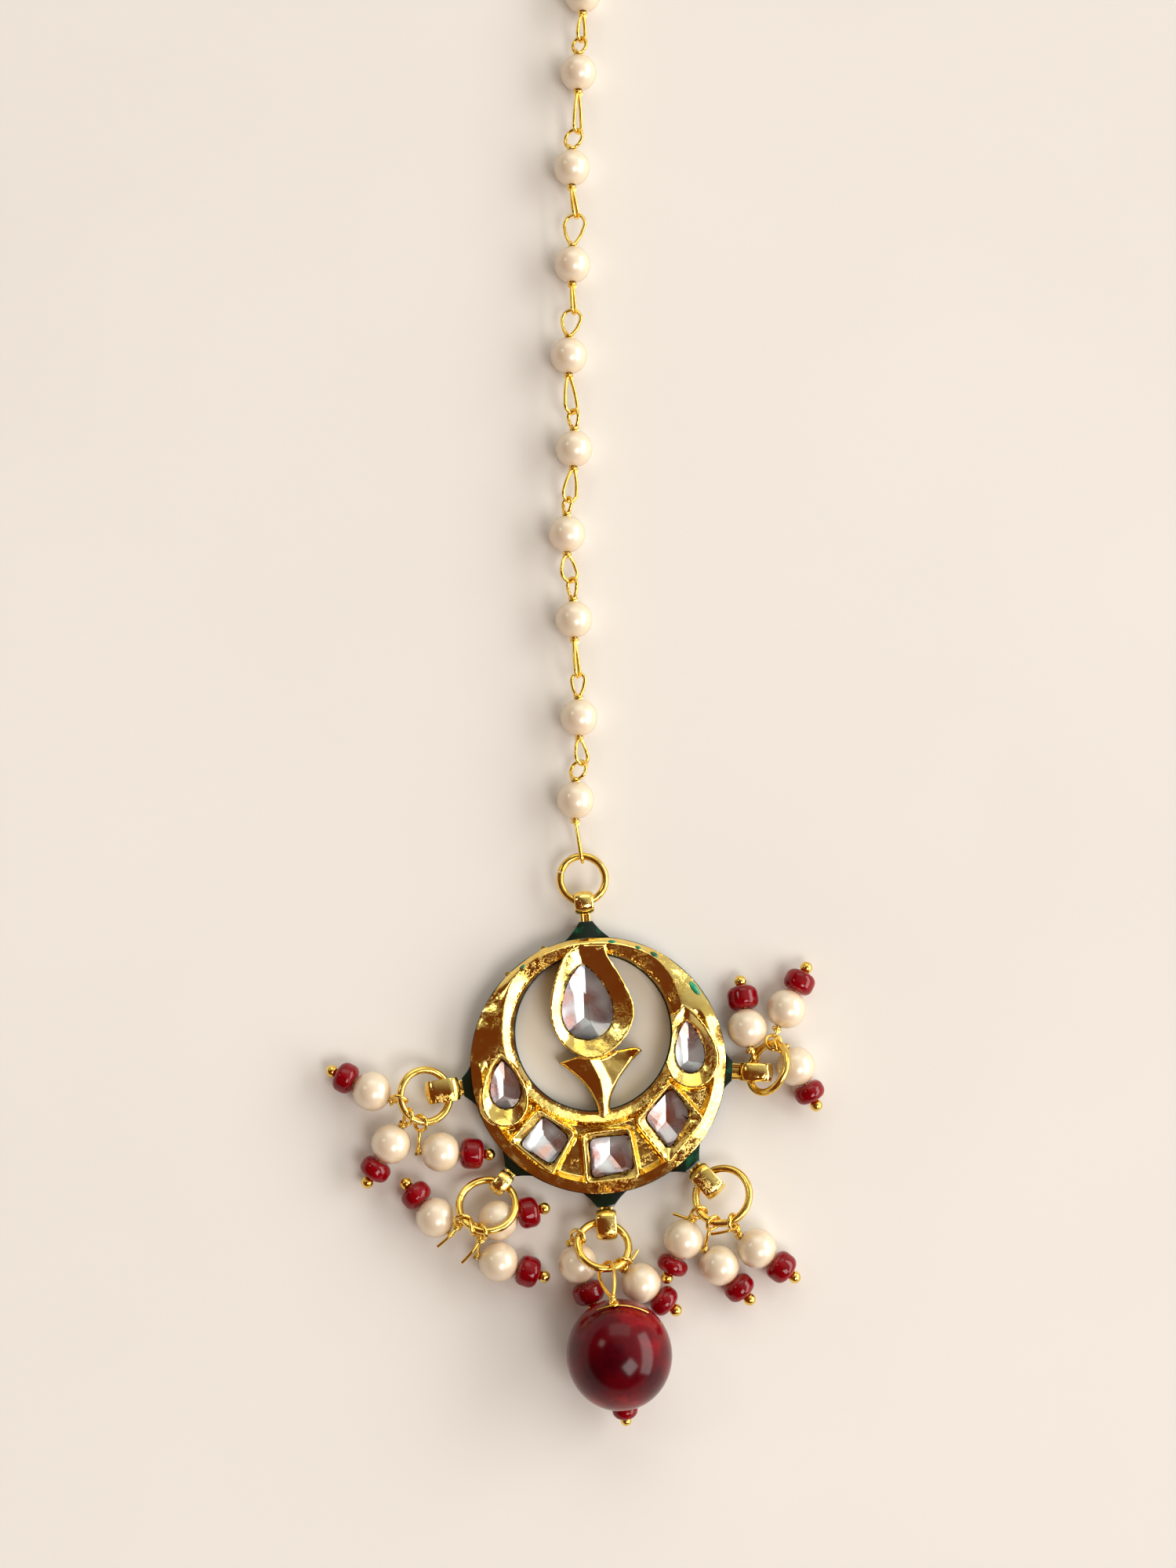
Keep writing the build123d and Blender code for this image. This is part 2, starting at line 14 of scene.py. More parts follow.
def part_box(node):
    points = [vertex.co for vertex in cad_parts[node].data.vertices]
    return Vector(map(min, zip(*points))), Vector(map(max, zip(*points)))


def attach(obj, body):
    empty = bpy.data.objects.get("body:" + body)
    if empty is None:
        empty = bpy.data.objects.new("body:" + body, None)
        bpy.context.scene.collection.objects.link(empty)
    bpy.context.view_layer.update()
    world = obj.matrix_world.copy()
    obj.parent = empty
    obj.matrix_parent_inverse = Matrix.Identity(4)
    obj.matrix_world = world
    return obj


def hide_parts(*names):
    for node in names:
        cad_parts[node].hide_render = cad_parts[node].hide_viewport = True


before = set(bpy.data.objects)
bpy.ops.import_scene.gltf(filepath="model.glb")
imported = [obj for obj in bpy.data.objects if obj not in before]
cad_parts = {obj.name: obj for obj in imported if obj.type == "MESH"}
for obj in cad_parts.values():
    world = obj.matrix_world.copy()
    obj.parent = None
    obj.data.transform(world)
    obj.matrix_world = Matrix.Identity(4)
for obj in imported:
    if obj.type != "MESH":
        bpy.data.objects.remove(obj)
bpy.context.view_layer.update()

MM = 0.001

# ---- Table, lamps and camera ---------------------------------------------------------------------
# A plain pale table top in a pale room. Four soft lamps stand 2.5 m away: a wide window on the right,
# a smaller spot in front of it, a wall behind and a small cool one behind on the left. The camera
# looks almost straight down.
CAMERA_TARGET = Vector((-1.15, 32.34, 0.0))
CAMERA_DISTANCE = 280.0
CAMERA_TILT = 7.0            # degrees from straight down
CAMERA_LENS = 36.96          # for a 24 mm tall sensor
TABLE_HALF = 12.0            # metres from the middle to an edge
LAMPS = {
    "window": dict(azimuth=2, height=26, far=2500, size=(3470, 1190), glow=4.8, colour=(1.0, 0.97, 0.92)),
    "spot": dict(azimuth=-46, height=57, far=2500, size=(1150, 1050), glow=6.4, colour=(1.0, 0.97, 0.93)),
    "wall": dict(azimuth=88, height=36, far=2500, size=(2000, 1200), glow=1.25, colour=(0.97, 1.0, 0.86)),
    "back": dict(azimuth=150, height=44, far=2500, size=(500, 500), glow=4.0, colour=(0.85, 1.0, 0.90)),
}


def new_finish(name, **sockets):
    """A new material with a Principled shader whose sockets are set by name."""
    material = bpy.data.materials.new(name)
    material.use_nodes = True
    shader = material.node_tree.nodes["Principled BSDF"]
    for socket, value in sockets.items():
        shader.inputs[socket.replace("_", " ")].default_value = value
    return material, material.node_tree, shader


def add_noise(tree, scale, detail=3.0, roughness=0.5, where="Object"):
    """A noise pattern in the object's own place, with so many lumps a metre."""
    place = tree.nodes.new("ShaderNodeTexCoord")
    noise = tree.nodes.new("ShaderNodeTexNoise")
    noise.inputs["Scale"].default_value = scale
    noise.inputs["Detail"].default_value = detail
    noise.inputs["Roughness"].default_value = roughness
    tree.links.new(place.outputs[where], noise.inputs["Vector"])
    return noise.outputs["Fac"]


def add_ramp(tree, source, stops):
    """A colour ramp over a value. stops is a list of (place, colour)."""
    ramp = tree.nodes.new("ShaderNodeValToRGB")
    while len(ramp.color_ramp.elements) < len(stops):
        ramp.color_ramp.elements.new(0.5)
    for element, (place, colour) in zip(ramp.color_ramp.elements, stops):
        element.position = place
        element.color = (*colour, 1.0)
    tree.links.new(source, ramp.inputs["Fac"])
    return ramp.outputs["Color"]


def paint(tree, shader, socket, source, stops):
    """Drives one of a shader's sockets by a colour ramp over a value."""
    tree.links.new(add_ramp(tree, source, stops), shader.inputs[socket])


def add_bump(tree, shader, source, strength, depth):
    """Small relief from a value, depth in metres."""
    bump = tree.nodes.new("ShaderNodeBump")
    bump.inputs["Strength"].default_value = strength
    bump.inputs["Distance"].default_value = depth
    tree.links.new(source, bump.inputs["Height"])
    tree.links.new(bump.outputs["Normal"], shader.inputs["Normal"])


def grey(value):
    return (value, value, value)


def make_table():
    mesh = bpy.data.meshes.new("table_top")
    corners = [(x * TABLE_HALF, y * TABLE_HALF, 0) for x, y in ((-1, -1), (1, -1), (1, 1), (-1, 1))]
    mesh.from_pydata(corners, [], [(0, 1, 2, 3)])
    table = bpy.data.objects.new("table_top", mesh)
    bpy.context.scene.collection.objects.link(table)
    card, tree, shader = new_finish("pale_card", Roughness=0.85)
    mottle = add_noise(tree, 14.0)
    paint(tree, shader, "Base Color", mottle, [(0.3, (0.80, 0.775, 0.735)), (0.7, (0.835, 0.81, 0.77))])
    mesh.materials.append(card)


def make_lamp(name, azimuth, height, far, size, glow, colour):
    """A flat soft lamp aimed at the medallion. glow is how bright its face is, 1 being white."""
    lamp = bpy.data.lights.new(name, "AREA")
    lamp.shape = "RECTANGLE"
    lamp.size, lamp.size_y = size[0] * MM, size[1] * MM
    lamp.energy = glow * pi * lamp.size * lamp.size_y
    lamp.color = colour
    stand = bpy.data.objects.new(name, lamp)
    way = Vector((cos(radians(height)) * cos(radians(azimuth)), cos(radians(height)) * sin(radians(azimuth)),
                  sin(radians(height))))
    stand.location = way * far * MM
    stand.rotation_euler = way.to_track_quat("Z", "Y").to_euler()
    bpy.context.scene.collection.objects.link(stand)


def make_room():
    """The room: pale walls all round, and above them a ceiling that is dark except up and to the right."""
    world = bpy.data.worlds.new("room")
    world.use_nodes = True
    tree = world.node_tree
    place = tree.nodes.new("ShaderNodeTexCoord")
    dot = tree.nodes.new("ShaderNodeVectorMath")
    dot.operation = "DOT_PRODUCT"
    dot.inputs[1].default_value = (0.65, 0.74, 0.15)
    tree.links.new(place.outputs["Generated"], dot.inputs[0])
    colour = add_ramp(tree, dot.outputs["Value"], [(0.0, (0.15, 0.045, 0.018)), (0.2, (0.17, 0.09, 0.06)),
                                             (0.5, (0.5, 0.48, 0.44)), (0.9, (0.72, 0.72, 0.68))])
    rise = tree.nodes.new("ShaderNodeSeparateXYZ")
    tree.links.new(place.outputs["Generated"], rise.inputs["Vector"])
    wall = add_ramp(tree, rise.outputs["Z"], [(0.24, grey(1.0)), (0.36, grey(0.0))])
    room = tree.nodes.new("ShaderNodeMix")
    room.data_type = "RGBA"
    room.inputs[7].default_value = (0.66, 0.64, 0.60, 1.0)
    tree.links.new(wall, room.inputs["Factor"])
    tree.links.new(colour, room.inputs[6])
    tree.links.new(room.outputs[2], tree.nodes["Background"].inputs["Color"])
    bpy.context.scene.world = world


def make_camera():
    camera = bpy.data.cameras.new("camera")
    camera.sensor_fit = "VERTICAL"
    camera.sensor_height = 24.0
    camera.lens = CAMERA_LENS
    camera.clip_start = 0.01
    stand = bpy.data.objects.new("camera", camera)
    tilt = radians(CAMERA_TILT)
    stand.location = (CAMERA_TARGET + Vector((0, -sin(tilt), cos(tilt))) * CAMERA_DISTANCE) * MM
    stand.rotation_euler = (tilt, 0, 0)
    bpy.context.scene.collection.objects.link(stand)
    bpy.context.scene.camera = stand


make_table()
for lamp_name, lamp_facts in LAMPS.items():
    make_lamp(lamp_name, **lamp_facts)
make_room()
make_camera()
bpy.context.scene.view_settings.view_transform = "Standard"

# ---- Gilt shell of the medallion -----------------------------------------------------------------
# Gold foil burnished over a lac-filled shell: a round crescent with five hollow cups, a lotus bud
# and two leaves on a stem. Each cup slopes down to its stone, and the rims are soft and rounded.
DISC_R = 14.4
SHELL_FOOT = 1.2             # the shell starts here, on the enamel
FIELD_Z = 2.85               # floor between the cups
CREST_Z = 3.78
CUP_FOOT_Z = 3.02            # where a cup's slope meets its stone
SEAT_Z = 2.0                 # floor under the stones
EDGE_Z = 3.05                # outer edge of the face
RIM_CREST_R = 13.2
OPENING_AT = np.array([-0.6, 3.7])
OPENING_R = 9.0
BURRS = (115.4, 135.2)       # angles of two small burrs on the rim
LEDGE = 0.3                  # step just inside the opening
LEDGE_Z = 2.3
INNER_SLOPE = 0.62           # fall of the slope into the opening, per mm
LIP = 0.3                    # crest of a cup, across
CUP_DROP = 0.08              # a cup's crest is this much below the rims'
RIM_FALL = 1.6               # fall of a rim towards the field, per mm
MESH_STEP = 0.13
ON_LINE = 0.003              # corners this near an outline count as on it

BUD_SIDE = [
    (-2.3, 13.5), (-3.6, 12.6), (-4.6, 10.5), (-5.3, 7.9), (-5.4, 5.7), (-5.0, 3.9), (-4.0, 2.3),
    (-2.5, 1.15), (-1.1, 0.7), (0.5, 0.95), (2.0, 1.9), (3.3, 3.4), (4.05, 5.4), (3.9, 7.1),
    (3.1, 8.95), (2.1, 10.7), (1.0, 12.4), (0.8, 13.5),
]
LEAF_RUNS = [
    [(-4.5, 0.2), (-2.5, 0.85), (0.2, 1.2), (2.8, 1.75), (4.3, 2.0), (5.0, 1.6)],
    [(5.0, 1.6), (3.8, 0.4), (2.3, -1.7), (1.5, -3.5), (1.3, -4.8), (1.7, -6.5)],
    [(1.7, -6.5), (-0.5, -6.3)],
    [(-0.5, -6.3), (0.0, -5.3), (-0.7, -3.5), (-1.7, -2.1), (-3.3, -0.7), (-4.5, 0.2)],
]
RIDGE = np.array([(-1.0, 1.5), (-1.0, 0.5), (0.15, -1.6), (0.5, -3.4), (0.7, -6.6)])
LEAF_TIP = np.array([4.6, 1.7])
# x, y, length, width, lean of the stone's pear outline and of its cup's
PEARS = {
    "petal_stone": dict(stone=(-1.35, 7.1, 8.6, 5.8, 7), cup=None),
    "left_pear_stone": dict(stone=(-10.55, -2.25, 5.4, 3.4, 7), cup=(-10.65, -2.85, 8.3, 5.3, 6)),
    "right_pear_stone": dict(stone=(10.3, 2.0, 5.9, 3.3, 6), cup=(10.35, 2.05, 9.4, 6.0, 8)),
}
PEAR_FULLNESS = 0.7
CUSHIONS = {
    "left_square_stone": dict(
        stone=[(-6.1, -5.7), (-3.2, -8.2), (-5.2, -11.2), (-8.9, -9.0)],
        cup=[(-6.8, -4.9), (-2.5, -7.6), (-5.1, -12.4), (-10.0, -8.5)],
    ),
    "middle_square_stone": dict(
        stone=[(-1.0, -8.3), (3.6, -7.8), (4.0, -11.7), (-0.7, -12.7)],
        cup=[(-1.9, -7.7), (3.6, -7.0), (4.7, -12.7), (-1.4, -13.4)],
    ),
    "right_square_stone": dict(
        stone=[(8.3, -2.5), (10.4, -5.5), (8.1, -9.5), (5.2, -5.9)],
        cup=[(8.1, -1.8), (12.0, -6.1), (7.9, -11.2), (4.1, -6.4)],
    ),
}
CORNER_R = 0.5


def even(points, step):
    """Points at an even spacing along an open run."""
    points = np.asarray(points, float)
    runs = np.r_[0, np.cumsum(np.hypot(*np.diff(points, axis=0).T))]
    count = max(2, round(runs[-1] / step) + 1)
    marks = np.linspace(0, runs[-1], count)
    return np.column_stack([np.interp(marks, runs, points[:, k]) for k in range(points.shape[1])])


def flowing(points, step):
    """A smooth open curve through the points, evenly spaced."""
    points = np.asarray(points, float)
    if len(points) == 2:
        return even(points, step)
    before, after = 2 * points[0] - points[1], 2 * points[-1] - points[-2]
    p = np.vstack([before, points, after])
    made = []
    for a, b, c, d in zip(p, p[1:], p[2:], p[3:]):
        for t in np.linspace(0, 1, 16, endpoint=False):
            made.append(0.5 * (2 * b + (c - a) * t + (2 * a - 5 * b + 4 * c - d) * t**2
                               + (3 * b - a - 3 * c + d) * t**3))
    return even(np.vstack([made, points[-1]]), step)


def closed(runs):
    """One closed loop from open runs that meet end to end."""
    return np.vstack([run[:-1] for run in runs])


def circle(centre, radius, step):
    count = round(2 * pi * radius / step)
    turn = np.linspace(0, 2 * pi, count, endpoint=False)
    return np.column_stack([centre[0] + radius * np.cos(turn), centre[1] + radius * np.sin(turn)])


def pear(x, y, length, width, lean, step):
    """A pear outline, tip up before it leans, anticlockwise."""
    widest = acos(-PEAR_FULLNESS / (2 + PEAR_FULLNESS))
    half = width / 2 / (sin(widest) * sin(widest / 2) ** PEAR_FULLNESS)
    t = np.linspace(0, 2 * pi, 241)
    across = -half * np.sin(t) * np.abs(np.sin(t / 2)) ** PEAR_FULLNESS
    along = length / 2 * np.cos(t)
    c, s = cos(radians(lean)), sin(radians(lean))
    loop = np.column_stack([x + across * c - along * s, y + across * s + along * c])
    return even(loop, step)[:-1]


def cushion(corners, step):
    """A four-cornered outline with rounded corners, anticlockwise."""
    corners = np.array(corners[::-1], float)
    made = []
    for before, corner, after in zip(np.roll(corners, 1, 0), corners, np.roll(corners, -1, 0)):
        to, fro = before - corner, after - corner
        start = corner + to / np.hypot(*to) * CORNER_R * 1.6
        end = corner + fro / np.hypot(*fro) * CORNER_R * 1.6
        t = np.linspace(0, 1, 9)[:, None]
        made.append((1 - t) ** 2 * start + 2 * t * (1 - t) * corner + t**2 * end)
    loop = np.vstack(made)
    return even(np.vstack([loop, loop[0]]), step)[:-1]


def inset(loop, by):
    """A closed anticlockwise loop moved inwards."""
    ahead = np.roll(loop, -2, 0) - np.roll(loop, 2, 0)
    inwards = np.column_stack([-ahead[:, 1], ahead[:, 0]])
    return loop + inwards / np.hypot(*inwards.T)[:, None] * by


def off(points, loop):
    """How far each point is from a closed loop."""
    a, b = loop, np.roll(loop, -1, 0)
    run = b - a
    square = (run**2).sum(1)
    found = np.empty(len(points))
    for i in range(0, len(points), 4000):
        part = points[i:i + 4000, None] - a[None]
        t = np.clip((part * run).sum(2) / square, 0, 1)
        found[i:i + 4000] = np.sqrt(((part - t[..., None] * run) ** 2).sum(2).min(1))
    return found


def within(points, loop):
    """Which points are inside a closed loop."""
    a, b = loop, np.roll(loop, -1, 0)
    inside = np.zeros(len(points), bool)
    for i in range(0, len(points), 8000):
        x, y = points[i:i + 8000, 0, None], points[i:i + 8000, 1, None]
        spans = (a[:, 1] > y) != (b[:, 1] > y)
        with np.errstate(divide="ignore", invalid="ignore"):
            cut = a[:, 0] + (y - a[:, 1]) * (b[:, 0] - a[:, 0]) / (b[:, 1] - a[:, 1])
        inside[i:i + 8000] = ((spans & (x < cut)).sum(1) % 2).astype(bool)
    return inside


bud_loop = closed([flowing(BUD_SIDE, MESH_STEP), even([BUD_SIDE[-1], BUD_SIDE[0]], MESH_STEP)])
leaf_loop = closed([flowing(run, MESH_STEP) for run in LEAF_RUNS])[::-1]
opening_loop = circle(OPENING_AT, OPENING_R, MESH_STEP)
stone_loops = {name: pear(*row["stone"], MESH_STEP) for name, row in PEARS.items()}
stone_loops.update({name: cushion(row["stone"], MESH_STEP) for name, row in CUSHIONS.items()})
cup_loops = {name: pear(*row["cup"], MESH_STEP) for name, row in PEARS.items() if row["cup"]}
cup_loops.update({name: cushion(row["cup"], MESH_STEP) for name, row in CUSHIONS.items()})
cup_loops["petal_stone"] = bud_loop
mouth_loops = {name: inset(loop, LIP) for name, loop in cup_loops.items()}


def smooth_step(x, low, high):
    t = np.clip((x - low) / (high - low), 0, 1)
    return t * t * (3 - 2 * t)


def edge_reach(turn):
    """How far the outer edge is from the middle, by angle in degrees. Two burrs stand out of it."""
    burrs = sum(0.42 * np.exp(-((turn - at) / 1.1) ** 2) for at in BURRS)
    return DISC_R + burrs + 0.03 * np.sin(np.radians(7 * turn)) + 0.02 * np.sin(np.radians(19 * turn))


def crest_reach(turn):
    """How far the crest of the crescent is from the middle of the opening, by angle in degrees."""
    upper_right = np.exp(-(((turn - 46) / 24) ** 2))
    top = np.exp(-(((turn - 96) / 24) ** 2))
    upper_left = np.exp(-(((turn - 146) / 20) ** 2))
    return 10.2 + 0.65 * upper_right - 0.3 * top + 0.55 * upper_left


def ways(turns):
    """Directions in the flat for angles in degrees."""
    return np.column_stack([np.cos(np.radians(turns)), np.sin(np.radians(turns))])


edge_turns = np.linspace(-180, 180, 720, endpoint=False)
disc_loop = edge_reach(edge_turns)[:, None] * ways(edge_turns)


def crescent_height(points):
    """The crescent without its cups: one soft ridge where it is plain, and two rims where it has cups."""
    across = points - OPENING_AT
    reach = np.hypot(*across.T)
    turn = (np.degrees(np.arctan2(across[:, 1], across[:, 0])) + 100) % 360 - 100
    crest = crest_reach(turn)
    to_edge = np.clip(DISC_R - np.hypot(*points.T), 0, None)

    slope = CREST_Z - INNER_SLOPE * (crest - reach)
    slope = np.where(reach < OPENING_R + LEDGE, LEDGE_Z, slope)

    share = np.clip(to_edge / np.maximum(to_edge + reach - crest, 0.01), 0, 1)
    ridge = EDGE_Z + (CREST_Z - EDGE_Z) * (1 - (1 - share) ** 1.5)

    edge = np.clip(to_edge / (DISC_R - RIM_CREST_R), 0, 1)
    rim = EDGE_Z + (CREST_Z - EDGE_Z) * (1 - (1 - edge) ** 1.05)
    rim = np.where(to_edge > DISC_R - RIM_CREST_R, CREST_Z - RIM_FALL * (to_edge - DISC_R + RIM_CREST_R), rim)
    inner_rim = CREST_Z - 0.15 - RIM_FALL * (reach - crest)
    two_rims = np.maximum(np.maximum(rim, inner_rim), FIELD_Z)

    plain = smooth_step(turn, 0, 14) * (1 - smooth_step(turn, 192, 206))
    outside = plain * ridge + (1 - plain) * two_rims
    return np.where(reach < crest, slope, outside)


def cup_height(points, cup, mouth, stone):
    """A cup: a slope down to its stone inside the mouth, a thin rounded crest, and a steep outside."""
    to_cup, to_mouth, to_stone = off(points, cup), off(points, mouth), off(points, stone)
    in_cup, in_mouth, in_stone = within(points, cup), within(points, mouth), within(points, stone)
    outside = CREST_Z - CUP_DROP - 2.6 * to_cup
    crest = CREST_Z - CUP_DROP + 0.1 * np.sin(pi * np.clip(to_cup / (to_cup + to_mouth + 1e-9), 0, 1))
    share = to_stone / (to_stone + to_mouth + 1e-9)
    slope = CUP_FOOT_Z + (CREST_Z - CUP_DROP - CUP_FOOT_Z) * share**1.12
    height = np.where(in_cup, crest, outside)
    height = np.where(in_mouth, slope, height)
    return np.where(in_stone, SEAT_Z, height), in_cup


def leaf_height(points):
    """Leaves and stem: folded along a ridge that runs down the stem, with rolled edges."""
    depth = off(points, leaf_loop)
    ridge = np.interp(-points[:, 1], -RIDGE[:, 1], RIDGE[:, 0])
    side = points[:, 0] - ridge
    fold = 3.55 - np.where(side < 0, -0.42 * side, np.minimum(0.54 * side, 0.55 + 0.12 * side))
    curl = 0.7 * np.exp(-((points - LEAF_TIP) ** 2).sum(1) / 0.5)
    return np.maximum(fold, 2.2) + curl - 0.3 * (1 - np.clip(depth / 0.28, 0, 1)) ** 2


def shell_height(points):
    """Height of the whole gilt face over any point of it."""
    height = np.zeros(len(points))
    about = np.degrees(np.arctan2(points[:, 1], points[:, 0]))
    in_disc = np.hypot(*points.T) <= edge_reach(about) + 0.01
    on_crescent = in_disc & (np.hypot(*(points - OPENING_AT).T) >= OPENING_R - 1e-3)
    height[on_crescent] = crescent_height(points[on_crescent])
    on_leaf = within(points, leaf_loop) | (off(points, leaf_loop) < ON_LINE)
    height[on_leaf] = np.maximum(height[on_leaf], leaf_height(points[on_leaf]))
    for name, cup in cup_loops.items():
        near = (points > cup.min(0) - 1).all(1) & (points < cup.max(0) + 1).all(1)
        made, in_cup = cup_height(points[near], cup, mouth_loops[name], stone_loops[name])
        old = height[near]
        if name == "petal_stone":
            on_bud = in_cup | (off(points[near], cup) < ON_LINE)
            made = np.where(on_bud | (old > 0), made, 0)
        height[near] = np.where(in_cup, made, np.maximum(old, made))
    x, y = points.T
    waver = np.sin(1.9 * x + 0.7 * y) + np.sin(1.3 * y - 2.3 * x + 1) + np.sin(2.9 * y + 0.9 * x + 2)
    return height + 0.012 * waver


def in_shell(points):
    crescent = within(points, disc_loop) & ~within(points, opening_loop)
    return crescent | within(points, bud_loop) | within(points, leaf_loop)


def triangulate(points, loops):
    """Triangles over points and closed loops of edges. Returns the points used and the triangles."""
    places, edges = list(points), []
    for loop in loops:
        start, count = len(places), len(loop)
        places.extend(loop)
        edges.extend((start + i, start + (i + 1) % count) for i in range(count))
    made = delaunay_2d_cdt([Vector(p) for p in places], edges, [], 0, 1e-4)
    corners = np.array([(v.x, v.y) for v in made[0]])
    return corners, np.array([f for f in made[2] if len(f) == 3])


def add_piece(name, corners, faces, finishes, face_finish=None, sharp=40.0):
    """A new object from corners in millimetres. Faces turn sharp past an angle in degrees."""
    mesh = bpy.data.meshes.new(name)
    mesh.from_pydata((np.asarray(corners) * MM).tolist(), [], [list(map(int, f)) for f in faces])
    mesh.update()
    for finish in finishes:
        mesh.materials.append(finish)
    if face_finish is not None:
        mesh.polygons.foreach_set("material_index", np.asarray(face_finish, int))
    mesh.shade_smooth()
    mesh.set_sharp_from_angle(angle=radians(sharp))
    piece = bpy.data.objects.new(name, mesh)
    bpy.context.scene.collection.objects.link(piece)
    return piece


def join_up(parts):
    """Corners and faces of several shapes as one."""
    corners, faces, start = [], [], 0
    for some_corners, some_faces in parts:
        corners.append(np.asarray(some_corners, float))
        faces.extend([tuple(start + i for i in face) for face in some_faces])
        start += len(some_corners)
    return np.vstack(corners), faces


def shell_solid():
    """The gilt face with its edges taken straight down to the enamel, and a flat underside."""
    low, high = disc_loop.min(0), disc_loop.max(0)
    rows = np.arange(low[1], high[1], MESH_STEP * 0.866)
    grid = []
    for i, y in enumerate(rows):
        x = np.arange(low[0] + (i % 2) * MESH_STEP / 2, high[0], MESH_STEP)
        grid.append(np.column_stack([x, np.full(len(x), y)]))
    grid = np.vstack(grid)
    crest_turns = np.linspace(0, 360, 560, endpoint=False)
    crest_turns = np.where(crest_turns > 260, crest_turns - 360, crest_turns)
    crest_loop = OPENING_AT + crest_reach(crest_turns)[:, None] * ways(crest_turns)
    ledge_r = OPENING_R + LEDGE
    loops = [disc_loop, opening_loop, bud_loop, leaf_loop, circle((0, 0), RIM_CREST_R, MESH_STEP), crest_loop,
             circle(OPENING_AT, ledge_r, MESH_STEP), circle(OPENING_AT, ledge_r - 0.03, MESH_STEP)]
    loops += [*cup_loops.values(), *mouth_loops.values(), *stone_loops.values()]
    keep = in_shell(grid)
    for loop in loops:
        keep[keep] = off(grid[keep], loop) > MESH_STEP * 0.45
    flat, triangles = triangulate(grid[keep], loops)
    triangles = triangles[in_shell(flat[triangles].mean(1))]
    used, triangles = np.unique(triangles, return_inverse=True)
    flat, triangles = flat[used], triangles.reshape(-1, 3)

    top = np.column_stack([flat, shell_height(flat)])
    sides = np.vstack([triangles[:, [0, 1]], triangles[:, [1, 2]], triangles[:, [2, 0]]])
    seen = {(a, b): True for a, b in sides}
    border = [(a, b) for a, b in seen if (b, a) not in seen]
    rim = sorted({a for edge in border for a in edge})
    below = {v: len(top) + i for i, v in enumerate(rim)}
    corners = np.vstack([top, np.column_stack([flat[rim], np.full(len(rim), SHELL_FOOT)])])
    faces = [tuple(t) for t in triangles]
    faces += [(b, a, below[a], below[b]) for a, b in border]

    place = {v: i for i, v in enumerate(rim)}
    edges = [(place[a], place[b]) for a, b in border]
    made = delaunay_2d_cdt([Vector(flat[v]) for v in rim], edges, [], 0, 1e-6)
    ids = [source[0] for source in made[3]]
    under = np.array([f for f in made[2] if len(f) == 3])
    middles = np.array([(v.x, v.y) for v in made[0]])[under].mean(1)
    faces += [tuple(below[rim[ids[i]]] for i in f[::-1]) for f in under[in_shell(middles)]]
    return corners, faces


def gilt_finish():
    """Burnished gold foil: warm yellow, a little redder in random patches, with soft dents and wear."""
    gilt, tree, shader = new_finish("burnished_gilt", Metallic=1.0)
    patches = add_noise(tree, 330.0, 4.0, 0.6)
    paint(tree, shader, "Base Color", patches, [(0.35, (0.90, 0.60, 0.13)), (0.62, (0.97, 0.74, 0.24))])
    wear = add_noise(tree, 1500.0, 4.0, 0.65)
    paint(tree, shader, "Roughness", wear, [(0.40, grey(0.05)), (0.72, grey(0.19))])
    dents = add_noise(tree, 900.0, 3.0, 0.5)
    flakes = add_ramp(tree, add_noise(tree, 1900.0, 6.0, 0.7), [(0.52, grey(0.0)), (0.58, grey(1.0))])
    where = add_ramp(tree, add_noise(tree, 240.0, 2.0, 0.5), [(0.46, grey(0.0)), (0.60, grey(0.34))])
    relief = tree.nodes.new("ShaderNodeMath")
    relief.operation = "MULTIPLY_ADD"
    tree.links.new(flakes, relief.inputs[0])
    tree.links.new(where, relief.inputs[1])
    tree.links.new(dents, relief.inputs[2])
    add_bump(tree, shader, relief.outputs["Value"], 0.26, 0.00012)
    return gilt


# angle round the medallion, start and end out from its middle, width, neck and slot height
BAILS = {
    "top": dict(angle=95, start=17.1, end=19.85, width=2.2, neck=1.2, slot_z=2.1),
    "left": dict(angle=-170.5, start=15.8, end=19.9, width=2.6, neck=1.8, slot_z=2.1),
    "lower_left": dict(angle=-129.5, start=15.7, end=18.6, width=1.8, neck=1.4, slot_z=2.1),
    "bottom": dict(angle=-87, start=16.1, end=19.7, width=2.3, neck=1.6, slot_z=2.1),
    "lower_right": dict(angle=-46.8, start=15.9, end=19.9, width=2.5, neck=1.6, slot_z=2.1),
    "right": dict(angle=-2.7, start=15.9, end=19.9, width=2.1, neck=1.9, slot_z=1.75),
}
BAIL_HEIGHT = 2.7
BAIL_CORNER_R = 1.2
BAIL_WALL = 0.45
BAIL_CROWN = 0.24
RIB_HALF = 0.24              # half width of a neck's ribs


def swept(path, outward, side, section, is_closed=True):
    """A section carried along a path. section is (across, out) points, as a closed loop."""
    path, outward, section = np.asarray(path), np.asarray(outward), np.asarray(section)
    rings = [p + section[:, :1] * side + section[:, 1:] * o for p, o in zip(path, outward)]
    count, size = len(rings), len(section)
    faces = []
    for i in range(count if is_closed else count - 1):
        j = (i + 1) % count
        for k in range(size):
            m = (k + 1) % size
            faces.append((i * size + k, i * size + m, j * size + m, j * size + k))
    if not is_closed:
        faces.append(tuple(reversed(range(size))))
        faces.append(tuple((count - 1) * size + k for k in range(size)))
    return np.vstack(rings), faces


